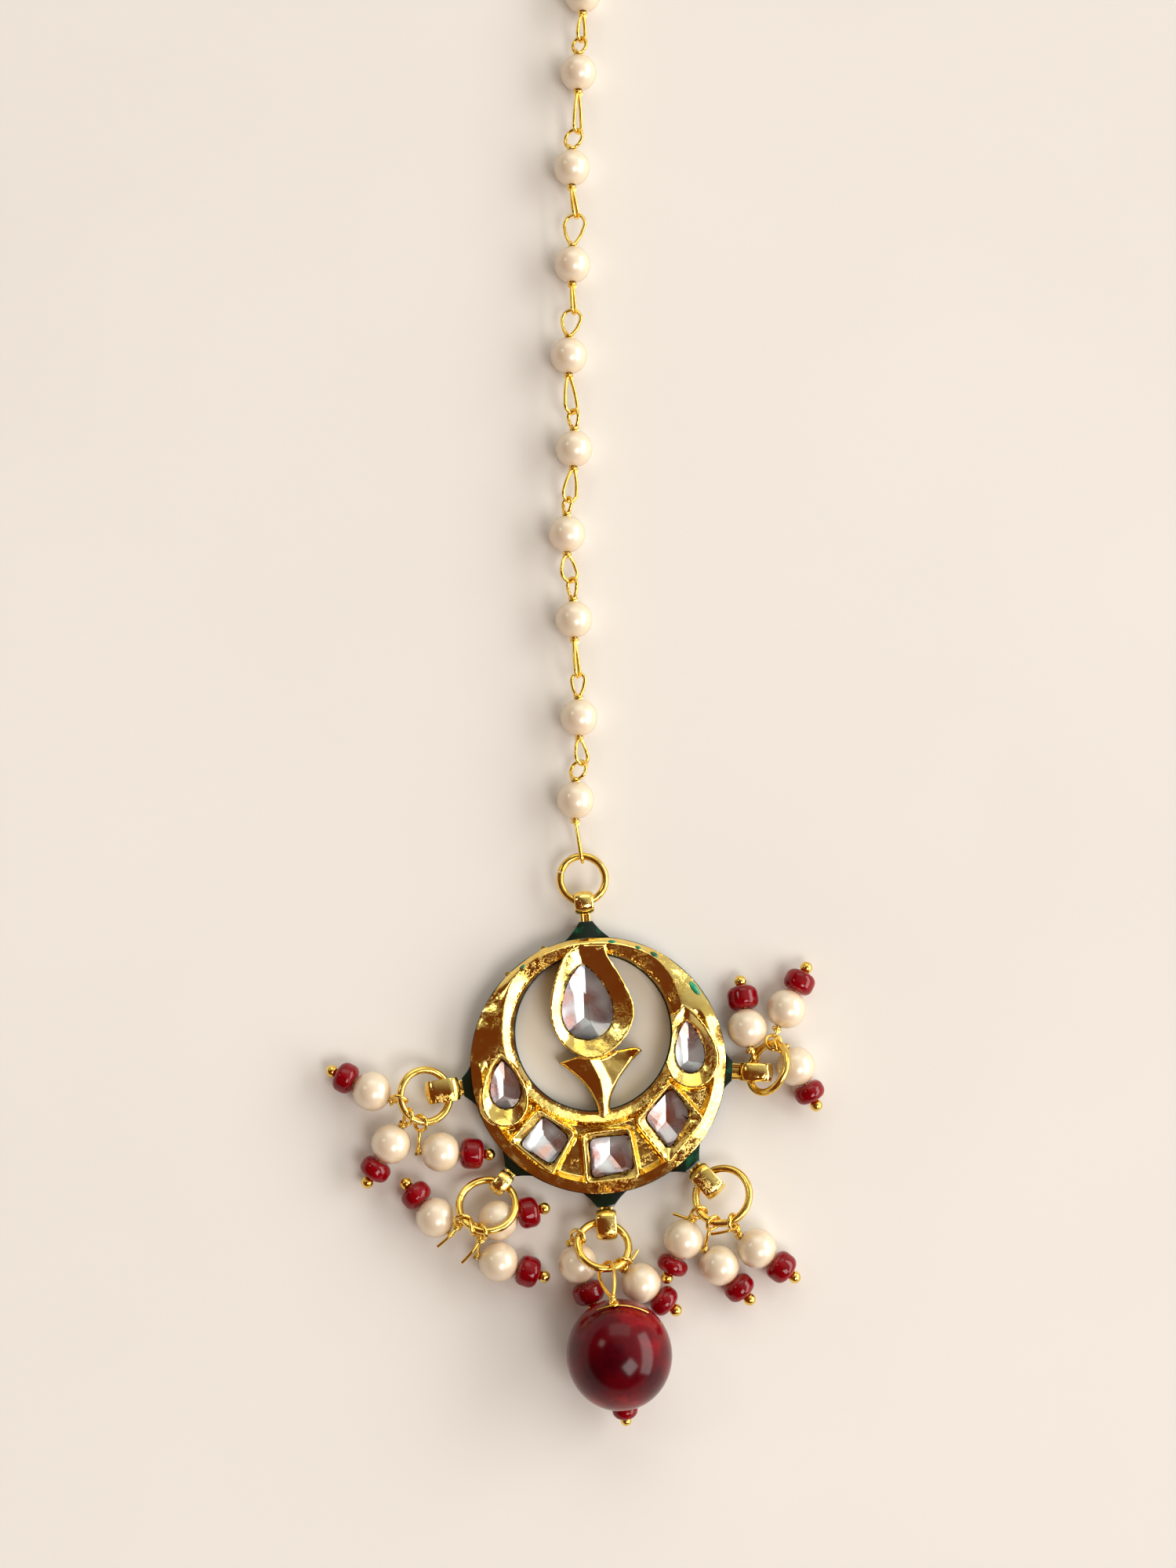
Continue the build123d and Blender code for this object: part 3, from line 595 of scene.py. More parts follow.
def strip_section(width, thick, crown):
    """Across a bail's strip: a domed outer face, thin edges and a flat inner face."""
    half, r = width / 2, thick * 0.42
    outer = [(x, thick / 2 - crown * (x / half) ** 2) for x in np.linspace(half - 0.03, 0.03 - half, 13)]
    return [(half, -0.08), *outer, (-half, -0.08), (0.4 * r - half, 0.3 * r - thick / 2),
            (r - half, -thick / 2), (half - r, -thick / 2), (half - 0.4 * r, 0.3 * r - thick / 2)]


def bail_shapes(row):
    """A strip folded to a long loop, and the two ribs and web of the neck that carries it."""
    turn = radians(row["angle"])
    out, side = np.array([cos(turn), sin(turn), 0]), np.array([-sin(turn), cos(turn), 0])
    up = np.array([0, 0, 1.0])
    middle = out * (row["start"] + row["end"]) / 2 + up * row["slot_z"]
    flat_x = (row["end"] - row["start"] - BAIL_WALL) / 2 - (BAIL_CORNER_R - BAIL_WALL / 2)
    flat_z = (BAIL_HEIGHT - BAIL_WALL) / 2 - (BAIL_CORNER_R - BAIL_WALL / 2)
    path, outward = [], []
    for quarter, (sx, sz) in enumerate([(1, 1), (-1, 1), (-1, -1), (1, -1)]):
        for t in np.linspace(0, 90, 10):
            a = radians(quarter * 90 + t)
            o = out * cos(a) + up * sin(a)
            path.append(middle + out * sx * flat_x + up * sz * flat_z + o * (BAIL_CORNER_R - BAIL_WALL / 2))
            outward.append(o)
    loop = swept(path, outward, side, strip_section(row["width"], BAIL_WALL, BAIL_CROWN))
    bars = []
    web_half = row["neck"] / 2 - 0.3
    for across, half_width, z, half_high in ((1, RIB_HALF, 2.0, 0.34), (-1, RIB_HALF, 2.0, 0.34),
                                             (0, web_half, 1.6, 0.4)):
        turns = np.linspace(0, 2 * pi, 14, endpoint=False)
        section = np.column_stack([half_width * np.sign(np.cos(turns)) * np.abs(np.cos(turns)) ** 0.7,
                                   half_high * np.sign(np.sin(turns)) * np.abs(np.sin(turns)) ** 0.7])
        offset = side * across * (row["neck"] / 2 - RIB_HALF) + up * z
        ends = [out * r + offset for r in (DISC_R - 0.6, row["start"] + 0.2)]
        bars.append(swept(ends, [up, up], -side, section, is_closed=False))
    return [loop, *bars]


gilt = gilt_finish()
bails = [shape for row in BAILS.values() for shape in bail_shapes(row)]
shell = add_piece("gilt_shell", *join_up([shell_solid(), *bails]), [gilt], sharp=50)
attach(shell, "root")
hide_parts("medallion_frame")

# ---- Enamelled back ------------------------------------------------------------------------------
# A copper plate under the shell, with a low side wall and pointed flares at the bails, all covered
# in glossy dark green enamel. Its edges are softly rounded where the enamel pooled and was fired.
ENAMEL_EDGE = 0.14
PATCH_REACH = 13.95          # middle of a spot, out from the medallion's middle
# angle, length and width of the spots where the enamel ran up over the gilt edge
ENAMEL_PATCHES = [(38.2, 1.9, 0.75), (62.9, 1.0, 0.55), (71.0, 0.7, 0.4), (83.5, 0.9, 0.4),
                  (128.0, 0.8, 0.35)]


def turned_shape(section, sides=64):
    """A section of (radius, height) points turned about the height. It is a closed loop."""
    section = np.asarray(section)
    turn = np.linspace(0, 2 * pi, sides, endpoint=False)
    rings = [np.column_stack([r * np.cos(turn), r * np.sin(turn), np.full(sides, z)]) for r, z in section]
    faces = []
    for i in range(len(section)):
        j = (i + 1) % len(section)
        for k in range(sides):
            m = (k + 1) % sides
            faces.append((i * sides + k, i * sides + m, j * sides + m, j * sides + k))
    return np.vstack(rings), faces


def enamel_finish(name, dark, middle, bright):
    enamel, tree, shader = new_finish(name, Roughness=0.12, IOR=1.55)
    shader.inputs["Coat Weight"].default_value = 0.3
    shader.inputs["Coat Roughness"].default_value = 0.04
    pools = add_noise(tree, 420.0, 4.0, 0.6)
    paint(tree, shader, "Base Color", pools, [(0.36, dark), (0.60, middle), (0.74, bright)])
    add_bump(tree, shader, add_noise(tree, 700.0, 2.0, 0.5), 0.25, 0.0001)
    return enamel


def welded_copy(node, name):
    """A new object with a CAD node's shape, its corners merged and its flat faces whole."""
    import bmesh
    shape = bmesh.new()
    shape.from_mesh(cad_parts[node].data)
    bmesh.ops.remove_doubles(shape, verts=shape.verts, dist=1e-6)
    bmesh.ops.dissolve_limit(shape, angle_limit=radians(1.0), verts=shape.verts, edges=shape.edges)
    mesh = bpy.data.meshes.new(name)
    shape.to_mesh(mesh)
    shape.free()
    mesh.materials.clear()
    piece = bpy.data.objects.new(name, mesh)
    bpy.context.scene.collection.objects.link(piece)
    return piece


def soften(piece, width, angle):
    """Rounds a piece's edges that are sharper than an angle in degrees."""
    bevel = piece.modifiers.new("soft_edge", "BEVEL")
    bevel.width = width * MM
    bevel.segments = 3
    bevel.limit_method = "ANGLE"
    bevel.angle_limit = radians(angle)
    bevel.harden_normals = False
    settle(piece)


def settle(piece):
    """Turns a piece's modifiers into plain mesh."""
    view = bpy.context.evaluated_depsgraph_get()
    mesh = bpy.data.meshes.new_from_object(piece.evaluated_get(view))
    piece.modifiers.clear()
    piece.data = mesh
    mesh.name = piece.name


enamel = welded_copy("enamel_back", "green_back")
green = enamel_finish("green_enamel", (0.0, 0.004, 0.002), (0.0, 0.014, 0.007), (0.002, 0.10, 0.045))
enamel.data.materials.append(green)
soften(enamel, ENAMEL_EDGE, 35)
patches = []
for turn, length, width in ENAMEL_PATCHES:
    drop = [(cos(a), sin(a)) for a in np.linspace(-1.5, 1.5, 13)]
    corners, faces = turned_shape([(0.001, -1), *drop, (0.001, 1)], 28)
    a = radians(turn)
    out = np.array([cos(a) * 0.87, sin(a) * 0.87, -0.5])
    along = np.array([-sin(a), cos(a), 0])
    axes = np.vstack([out * width / 2, along * length / 2, np.cross(out, along) * 0.16])
    spot = np.array([[cos(a) * PATCH_REACH, sin(a) * PATCH_REACH]])
    patches.append((corners @ axes + np.append(spot, shell_height(spot) + 0.02), faces))
thin_enamel = enamel_finish("thin_green_enamel", (0.0, 0.10, 0.045), (0.0, 0.26, 0.12), (0.02, 0.42, 0.20))
spots = add_piece("green_patches", *join_up(patches), [thin_enamel], sharp=60)
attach(spots, "root")
enamel.data.shade_smooth()
enamel.data.set_sharp_from_angle(angle=radians(60))
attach(enamel, "root")
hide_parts("enamel_back")

# ---- Stones --------------------------------------------------------------------------------------
# Clear glass, cut with a few broad facets and backed with bright foil, one in each cup. The crown
# is clear, and the faces under the girdle carry the foil, so that light comes back from below.
GIRDLE_LOW, GIRDLE_HIGH = 3.08, 3.25
CULET_Z = 2.05               # lowest a stone goes
# azimuth, tilt and reach of each facet, out from the stone's middle. The crown's turn with its lean.
PEAR_CROWN = [(183, 13, 1.0), (2, 15, 1.0), (40, 17, 0.97), (262, 24, 0.96), (306, 22, 1.0), (222, 20, 1.0)]
PEAR_FOIL = [(180, 19, 1.0), (3, 16, 1.0), (268, 22, 0.94), (318, 19, 1.02)]
CUSHION_CROWN = [(0, 24, 1.0), (90, 24, 1.0), (180, 24, 1.0), (270, 24, 1.0),
                 (20, 5, 2.5), (110, 5, 2.5), (200, 5, 2.5), (290, 5, 2.5)]
CUSHION_FOIL = [(180, 18, 0.95), (0, 15, 1.0), (262, 14, 1.0)]


def cut_stone(outline, middle, lean, crown, foil):
    """A stone cut from a prism by flat facets, only the crown's turned by the stone's lean in degrees.

    Returns corners, faces and whether each face is foiled.
    """
    import bmesh
    shape = bmesh.new()
    low = [shape.verts.new((*p, CULET_Z)) for p in outline]
    shape.faces.new(reversed(low))
    bmesh.ops.recalc_face_normals(shape, faces=shape.faces)
    up = bmesh.ops.extrude_face_region(shape, geom=shape.faces[:])
    lifted = [v for v in up["geom"] if isinstance(v, bmesh.types.BMVert)]
    bmesh.ops.translate(shape, vec=(0, 0, 3.5), verts=lifted)
    bmesh.ops.recalc_face_normals(shape, faces=shape.faces)
    for facets, girdle, way, turn in ((crown, GIRDLE_HIGH, 1, lean), (foil, GIRDLE_LOW, -1, 0)):
        for azimuth, tilt, share in facets:
            a, t = radians(azimuth + turn), radians(tilt)
            flat = np.array([cos(a), sin(a)])
            reach = ((outline - middle) @ flat).max() * share
            spot = (*(middle + flat * reach), girdle)
            normal = (sin(t) * flat[0], sin(t) * flat[1], way * cos(t))
            geom = shape.verts[:] + shape.edges[:] + shape.faces[:]
            cut = bmesh.ops.bisect_plane(shape, geom=geom, dist=1e-5, plane_co=spot, plane_no=normal,
                                         clear_outer=True)
            edges = [e for e in cut["geom_cut"] if isinstance(e, bmesh.types.BMEdge)]
            bmesh.ops.holes_fill(shape, edges=edges)
    bmesh.ops.triangulate(shape, faces=[f for f in shape.faces if len(f.verts) > 4])
    bmesh.ops.recalc_face_normals(shape, faces=shape.faces)
    shape.verts.index_update()
    corners = np.array([v.co[:] for v in shape.verts])
    faces = [tuple(v.index for v in f.verts) for f in shape.faces]
    foiled = [int(f.calc_center_median().z < GIRDLE_LOW + 0.02 or f.normal.z < -0.3) for f in shape.faces]
    shape.free()
    return corners, faces, foiled


def crystal_finish():
    crystal, tree, shader = new_finish("clear_glass", IOR=1.52)
    shader.inputs["Base Color"].default_value = (0.97, 0.98, 1.0, 1)
    shader.inputs["Transmission Weight"].default_value = 1.0
    scuffs = add_noise(tree, 1200.0, 3.0, 0.6)
    paint(tree, shader, "Roughness", scuffs, [(0.45, grey(0.0)), (0.8, grey(0.07))])
    add_bump(tree, shader, add_noise(tree, 500.0, 1.0, 0.4), 0.12, 0.00006)
    return crystal


def foil_finish():
    foil, tree, shader = new_finish("bright_foil", Metallic=1.0)
    tint = add_noise(tree, 420.0, 0.5, 0.4)
    paint(tree, shader, "Base Color", tint,
          [(0.34, (0.70, 0.44, 0.38)), (0.47, (0.64, 0.58, 0.60)), (0.64, (0.88, 0.93, 0.96))])
    paint(tree, shader, "Roughness", tint, [(0.3, grey(0.22)), (0.7, grey(0.36))])
    add_bump(tree, shader, add_noise(tree, 500.0, 0.5, 0.4), 0.12, 0.0001)
    return foil


crystal, foil = crystal_finish(), foil_finish()
for name, loop in stone_loops.items():
    outline = inset(loop, 0.03)[::3]
    middle = (loop.min(0) + loop.max(0)) / 2
    if name in PEARS:
        lean, crown, under = PEARS[name]["stone"][4], PEAR_CROWN, PEAR_FOIL
    else:
        first, second = np.array(CUSHIONS[name]["stone"][0]), np.array(CUSHIONS[name]["stone"][1])
        lean, crown, under = degrees(atan2(*(second - first)[::-1])), CUSHION_CROWN, CUSHION_FOIL
    corners, faces, foiled = cut_stone(outline, middle, lean, crown, under)
    stone = add_piece("cut_" + name, corners, faces, [crystal, foil], foiled, sharp=6)
    soften(stone, 0.05 if name in PEARS else 0.3, 12)
    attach(stone, "root")
    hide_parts(name)

# ---- Jump rings ----------------------------------------------------------------------------------
# Six rings of round gilt wire, bent shut, one through each bail. The two ends meet with a fine cut.
RING_CUT = 0.05              # gap between a ring's two ends


def cad_points(node):
    """The corners of a CAD node, in millimetres."""
    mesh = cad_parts[node].data
    flat = np.empty(len(mesh.vertices) * 3)
    mesh.vertices.foreach_get("co", flat)
    return flat.reshape(-1, 3) / MM


def wire_tree():
    """Geometry Nodes: any path of edges becomes round drawn wire with closed ends."""
    tree = bpy.data.node_groups.new("drawn_wire", "GeometryNodeTree")
    face = tree.interface
    face.new_socket("Path", in_out="INPUT", socket_type="NodeSocketGeometry")
    kinds = {"Radius": "NodeSocketFloat", "Sides": "NodeSocketInt", "Metal": "NodeSocketMaterial"}
    sockets = {name: face.new_socket(name, in_out="INPUT", socket_type=kind).identifier
               for name, kind in kinds.items()}
    face.new_socket("Wire", in_out="OUTPUT", socket_type="NodeSocketGeometry")
    add = tree.nodes.new
    start, end = add("NodeGroupInput"), add("NodeGroupOutput")
    line, ring, tube, smooth, real, metal = (add("GeometryNode" + kind) for kind in (
        "MeshToCurve", "CurvePrimitiveCircle", "CurveToMesh", "SetShadeSmooth", "RealizeInstances",
        "SetMaterial"))
    tube.inputs["Fill Caps"].default_value = True
    for source, outlet, target, inlet in (
            (start, "Path", line, "Mesh"), (line, "Curve", tube, "Curve"), (start, "Radius", ring, "Radius"),
            (start, "Sides", ring, "Resolution"), (ring, "Curve", tube, "Profile Curve"),
            (tube, "Mesh", smooth, "Geometry"), (smooth, "Geometry", real, "Geometry"),
            (real, "Geometry", metal, "Geometry"), (start, "Metal", metal, "Material"),
            (metal, "Geometry", end, "Wire")):
        tree.links.new(source.outputs[outlet], target.inputs[inlet])
    return tree, sockets


drawn_wire, wire_sockets = wire_tree()


def add_wire(name, strands, radius, metal, sides=14):
    """One object of round wire along several open strands of points."""
    corners, edges = [], []
    for strand in strands:
        start = len(corners)
        corners.extend(np.asarray(strand) * MM)
        edges.extend((start + i, start + i + 1) for i in range(len(strand) - 1))
    mesh = bpy.data.meshes.new(name)
    mesh.from_pydata([tuple(c) for c in corners], edges, [])
    piece = bpy.data.objects.new(name, mesh)
    bpy.context.scene.collection.objects.link(piece)
    wire = piece.modifiers.new("wire", "NODES")
    wire.node_group = drawn_wire
    wire[wire_sockets["Radius"]] = radius * MM
    wire[wire_sockets["Sides"]] = sides
    wire[wire_sockets["Metal"]] = metal
    settle(piece)
    return piece


def wire_finish():
    """Drawn gilt wire: bright yellow, with fine draw marks and a little tarnish."""
    metal, tree, shader = new_finish("gilt_wire", Metallic=1.0)
    tarnish = add_noise(tree, 600.0, 4.0, 0.6)
    paint(tree, shader, "Base Color", tarnish, [(0.35, (0.82, 0.50, 0.08)), (0.62, (0.96, 0.70, 0.19))])
    paint(tree, shader, "Roughness", add_noise(tree, 2600.0), [(0.4, grey(0.12)), (0.7, grey(0.26))])
    add_bump(tree, shader, add_noise(tree, 1800.0, 2.0, 0.5), 0.2, 0.00005)
    return metal


def unit(v):
    v = np.asarray(v, float)
    return v / np.linalg.norm(v)


gilt_wire = wire_finish()
for cluster, row in BAILS.items():
    node = cluster + "_ring"
    points = cad_points(node)
    middle = (points.min(0) + points.max(0)) / 2
    normal = np.linalg.svd(points - middle, full_matrices=False)[2][2]
    normal = normal * np.sign(normal[2])
    reach = np.linalg.norm(points - middle, axis=1)
    wire_r = (reach.max() - reach.min()) / 2
    ring_r = (reach.max() + reach.min()) / 2
    first = unit(np.cross(normal, (0.3, 1, 0)))
    second = np.cross(normal, first)
    gap = RING_CUT / ring_r
    turns = np.linspace(gap, 2 * pi - gap, 120)[:, None]
    wobble = 1 + 0.012 * np.sin(2 * turns + len(cluster))
    path = middle + (first * np.cos(turns) + second * np.sin(turns)) * ring_r * wobble
    ring = add_wire("jump_ring_" + cluster, [path], wire_r, gilt_wire, sides=24)
    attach(ring, "root")
    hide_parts(node)

# ---- Pearls --------------------------------------------------------------------------------------
# Cream pearls with a soft lustre, drilled through. Ten are on the chain, and fourteen are on the
# drops. Each is a hair out of round, and its hole has a small rounded edge.
PEARL_BORE_R = 0.38


def stood(shape, at, along):
    """A shape moved so that its height runs along a direction from a point."""
    corners, faces = shape
    along = unit(along)
    side = unit(np.cross(along, (0.2, 0.1, 1.0)))
    return corners @ np.vstack([side, np.cross(along, side), along]) + at, faces


def pearl_section(radius):
    """From the bottom hole up the outside to the top hole, and back down the bore."""
    edge = 0.1
    low = -(pi / 2 - (PEARL_BORE_R + edge) / radius)
    outside = [(radius * cos(a), radius * sin(a)) for a in np.linspace(low, -low, 30)]
    mouth = radius * sin(-low) - 0.07
    return [(PEARL_BORE_R, -mouth), *outside, (PEARL_BORE_R, mouth)]


def pearl_finish():
    """Pearl: cream, with painted shade turning it tan at the rim as it faces away from the camera, in faint
    random clouds, under a clear soft gloss.
    """
    nacre, tree, shader = new_finish("pearl_lustre", Roughness=0.42, IOR=1.9)
    shader.inputs["Coat Weight"].default_value = 1.0
    shader.inputs["Coat IOR"].default_value = 1.85
    shader.inputs["Coat Roughness"].default_value = 0.23
    facing = tree.nodes.new("ShaderNodeLayerWeight")
    facing.inputs["Blend"].default_value = 0.42
    # Painted shade: the base colour goes from cream to dark tan towards the rim, by how far the surface turns
    # from the camera.
    body = add_ramp(tree, facing.outputs["Facing"], [(0.0, (0.86, 0.72, 0.54)), (0.45, (0.84, 0.68, 0.48)),
                                                    (0.75, (0.71, 0.53, 0.32)), (1.0, (0.42, 0.27, 0.13))])
    mottle = add_noise(tree, 260.0, 3.0, 0.5)
    clouds = add_ramp(tree, mottle, [(0.3, (0.95, 0.96, 0.92)), (0.7, (1.0, 0.95, 0.92))])
    mixed = tree.nodes.new("ShaderNodeMix")
    mixed.data_type, mixed.blend_type = "RGBA", "MULTIPLY"
    mixed.inputs["Factor"].default_value = 1.0
    tree.links.new(body, mixed.inputs[6])
    tree.links.new(clouds, mixed.inputs[7])
    tree.links.new(mixed.outputs[2], shader.inputs["Base Color"])
    add_bump(tree, shader, add_noise(tree, 700.0, 2.0, 0.5), 0.08, 0.00008)
    return nacre


def add_pearl(node, along, radius):
    box = np.array(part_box(node)) / MM
    at = box.mean(0)
    corners, faces = turned_shape(pearl_section(radius))
    rng = np.random.default_rng(int(abs(at[0] * 31 + at[1] * 7)) + 5)
    squash = 1 + rng.uniform(-0.01, 0.0, 3)
    pearl = add_piece("pearl_" + node, *stood((corners * squash, faces), at, along), [nacre], sharp=40)
    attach(pearl, "root")
    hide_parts(node)


nacre = pearl_finish()

# ---- Chain wires ---------------------------------------------------------------------------------
# Each chain pearl sits on its own piece of fine wire. Both ends are turned to a long eye, closed by
# a turn or two round the neck, and each eye is hooked through the next one's.
CHAIN_PEARLS = [name for name in sorted(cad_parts) if name.startswith("chain_pearl")]
CHAIN_PEARL_R = 2.17
WIRE_R = 0.21
WRAP_WIRE_R = 0.18
MOUTH_GAP = 0.27
WRAP_R = WIRE_R + WRAP_WIRE_R * 0.9
WRAP_PITCH = 0.3


def extreme(points, way, depth=0.06):
    """The middle of the points that lie farthest along a direction."""
    reach = points @ unit(way)
    return points[reach > reach.max() - depth].mean(0)


def eye_path(neck, end, half, across):
    """Out from the neck, round the end and back to the neck: an eye like a narrow drop."""
    along = unit(end - neck)
    across = unit(across - along * (across @ along))
    centre = end - along * half
    reach, spread = np.linalg.norm(centre - neck), 0.16
    tangent = atan2(spread, -reach) - acos(min(1, half / hypot(reach, spread)))
    turns = np.linspace(tangent, -tangent, 40)[:, None]
    bow = centre + along * half * np.cos(turns) + across * half * np.sin(turns)
    start, finish = neck + across * spread, neck - across * spread
    share = np.linspace(0, 1, 12, endpoint=False)[:, None]
    bulge = np.sin(pi * share) * 0.07 * half * 2
    first = start + (bow[0] - start) * share + across * bulge
    last = bow[-1] + (finish - bow[-1]) * (share + 1 / 12) - across * bulge[::-1]
    return np.vstack([first, bow, last])


def wrap_path(neck, along, radius, pitch, turns):
    """A close coil round the neck of an eye."""
    along = unit(along)
    side = unit(np.cross(along, (0.3, 0.2, 1)))
    other = np.cross(along, side)
    t = np.linspace(0, 2 * pi * turns, int(20 * turns))[:, None]
    rise = (t / (2 * pi) - turns / 2) * pitch
    return neck + along * rise + (side * np.cos(t) + other * np.sin(t)) * radius


def eye_facts(points, neck, end):
    """An eye's half width and sideways direction, from the CAD wire's points round it."""
    along = unit(end - neck)
    rise = (points - neck) @ along
    near = points[(rise > 0.5) & (rise < np.linalg.norm(end - neck) + 0.3)]
    flat = near - neck
    flat = flat - np.outer(flat @ along, along)
    across = np.linalg.svd(flat, full_matrices=False)[2][0]
    half = np.abs(flat @ across).max() - WIRE_R
    return half, across


for node in CHAIN_PEARLS:
    wire_node = node.replace("pearl", "wire")
    points = cad_points(wire_node)
    at = np.array(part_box(node)).mean(0) / MM
    low, high = extreme(points, (0, -1, 0)), extreme(points, (0, 1, 0))
    low[1] += WIRE_R
    high[1] -= WIRE_R
    along = unit([(high[0] - low[0]) / 2, high[1] - low[1], 0])
    add_pearl(node, along, CHAIN_PEARL_R)
    strands = [np.array([at - along * 2.6, at + along * 2.6])]
    wraps = []
    for end, way in ((low, -1), (high, 1)):
        neck = at + along * way * (CHAIN_PEARL_R + MOUTH_GAP)
        half, across = eye_facts(points, neck, end)
        strands.append(eye_path(neck, end, half, across))
        wraps.append(wrap_path(neck, along, WRAP_R, WRAP_PITCH, 1.6))
    wire = add_wire("eyes_" + wire_node, strands, WIRE_R, gilt_wire)
    coil = add_wire("wraps_" + wire_node, wraps, WRAP_WIRE_R, gilt_wire, sides=10)
    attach(wire, "root")
    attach(coil, "root")
    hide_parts(wire_node)

# ---- Drops ---------------------------------------------------------------------------------------
# A drop is a head pin with a pearl, a red glass bead and a gold seed at its foot. Its top is turned
# to a small eye round the jump ring. The bottom cluster also carries one large dark red bead.
DROP_PEARL_R = 2.25
BEAD_ROUND = 0.9
BEAD_BORE_R = 0.34
BIG_R, BIG_HALF = 5.84, 6.14
PIN_EYE_R = 0.85
EYE_LEAN = 34                # degrees an eye is turned from square across its ring
# heading in degrees and length of the cut ends that were left long
TAILS = {
    "lower_left_drop_pearl_1": (-134, 3.2),
    "lower_left_drop_pearl_3": (-128, 3.4),
    "bottom_drop_pearl_2": (48, 2.4),
    "lower_right_drop_pearl_1": (165, 2.2),
    "lower_right_drop_pearl_3": (194, 2.8),
}
TWIST_LENGTH = 1.0           # the big bead hangs from a wide eye with a twisted neck
TWIST_TURNS = 1.2
TWIST_EYE_HALF = 1.15
LOOSE_WIRE_R = 0.08
SEED_R = 0.7
TAIL_SEED_R = 0.6


def twist_paths(start, end, turns):
    """Two strands twisted round each other from one point to another."""
    along = unit(end - start)
    side = unit(np.cross(along, (0.1, 0.2, 1)))
    other = np.cross(along, side)
    share = np.linspace(0, 1, 30)[:, None]
    turn = 2 * pi * turns * share
    swing = (side * np.cos(turn) + other * np.sin(turn)) * WIRE_R
    return [start + (end - start) * share + swing * way for way in (1, -1)]


def cad_solids(node):
    """The corners of each separate solid of a CAD node, in millimetres."""
    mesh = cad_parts[node].data
    points = cad_points(node)
    _, weld = np.unique(np.round(points, 4), axis=0, return_inverse=True)
    weld = weld.ravel()
    head = list(range(weld.max() + 1))

    def top(i):
        while head[i] != i:
            head[i] = head[head[i]]
            i = head[i]
        return i

    for face in mesh.polygons:
        corners = [weld[v] for v in face.vertices]
        for other in corners[1:]:
            head[top(corners[0])] = top(other)
    tops = np.array([top(i) for i in weld])
    return [points[tops == t] for t in np.unique(tops)]


def bead_section(radius, length, rounding, bore):
    """A short drum with rounded ends and a hole."""
    half = length / 2
    bottom = [(radius - rounding + rounding * sin(a), -half + rounding - rounding * cos(a))
              for a in np.linspace(0, pi / 2, 9)]
    top = [(r, -z) for r, z in bottom[::-1]]
    return [(bore, -half + 0.12), (bore + 0.12, -half), *bottom, *top, (bore + 0.12, half),
            (bore, half - 0.12)]


def red_glass_finish():
    glass, tree, shader = new_finish("red_glass", IOR=1.42)
    shader.inputs["Transmission Weight"].default_value = 0.55
    streaks = add_noise(tree, 520.0, 3.0, 0.6)
    paint(tree, shader, "Base Color", streaks, [(0.3, (0.30, 0.0, 0.004)), (0.7, (0.50, 0.0, 0.010))])
    paint(tree, shader, "Roughness", streaks, [(0.4, grey(0.03)), (0.8, grey(0.08))])
    return glass


def dark_bead_finish():
    """Very dark red glass with cloudy, brighter red depths."""
    glass, tree, shader = new_finish("dark_red_bead", Roughness=0.16, IOR=1.33)
    clouds = add_noise(tree, 130.0, 5.0, 0.62)
    paint(tree, shader, "Base Color", clouds,
          [(0.36, (0.045, 0.0, 0.003)), (0.54, (0.12, 0.0, 0.004)), (0.70, (0.36, 0.003, 0.006))])
    add_bump(tree, shader, add_noise(tree, 240.0, 3.0, 0.5), 0.1, 0.0001)
    return glass


def seed_shape(at, along, radius):
    """A gold seed: a small ball with a dimple at its foot."""
    turn = np.linspace(-pi / 2, pi / 2, 17)
    section = [(max(0.02, radius * cos(a)), radius * sin(a)) for a in turn[1:-1]]
    section = [(0.01, -radius), *section, (0.16, radius * 0.97), (0.01, radius * 0.84)]
    return stood(turned_shape(section, 28), at, along)


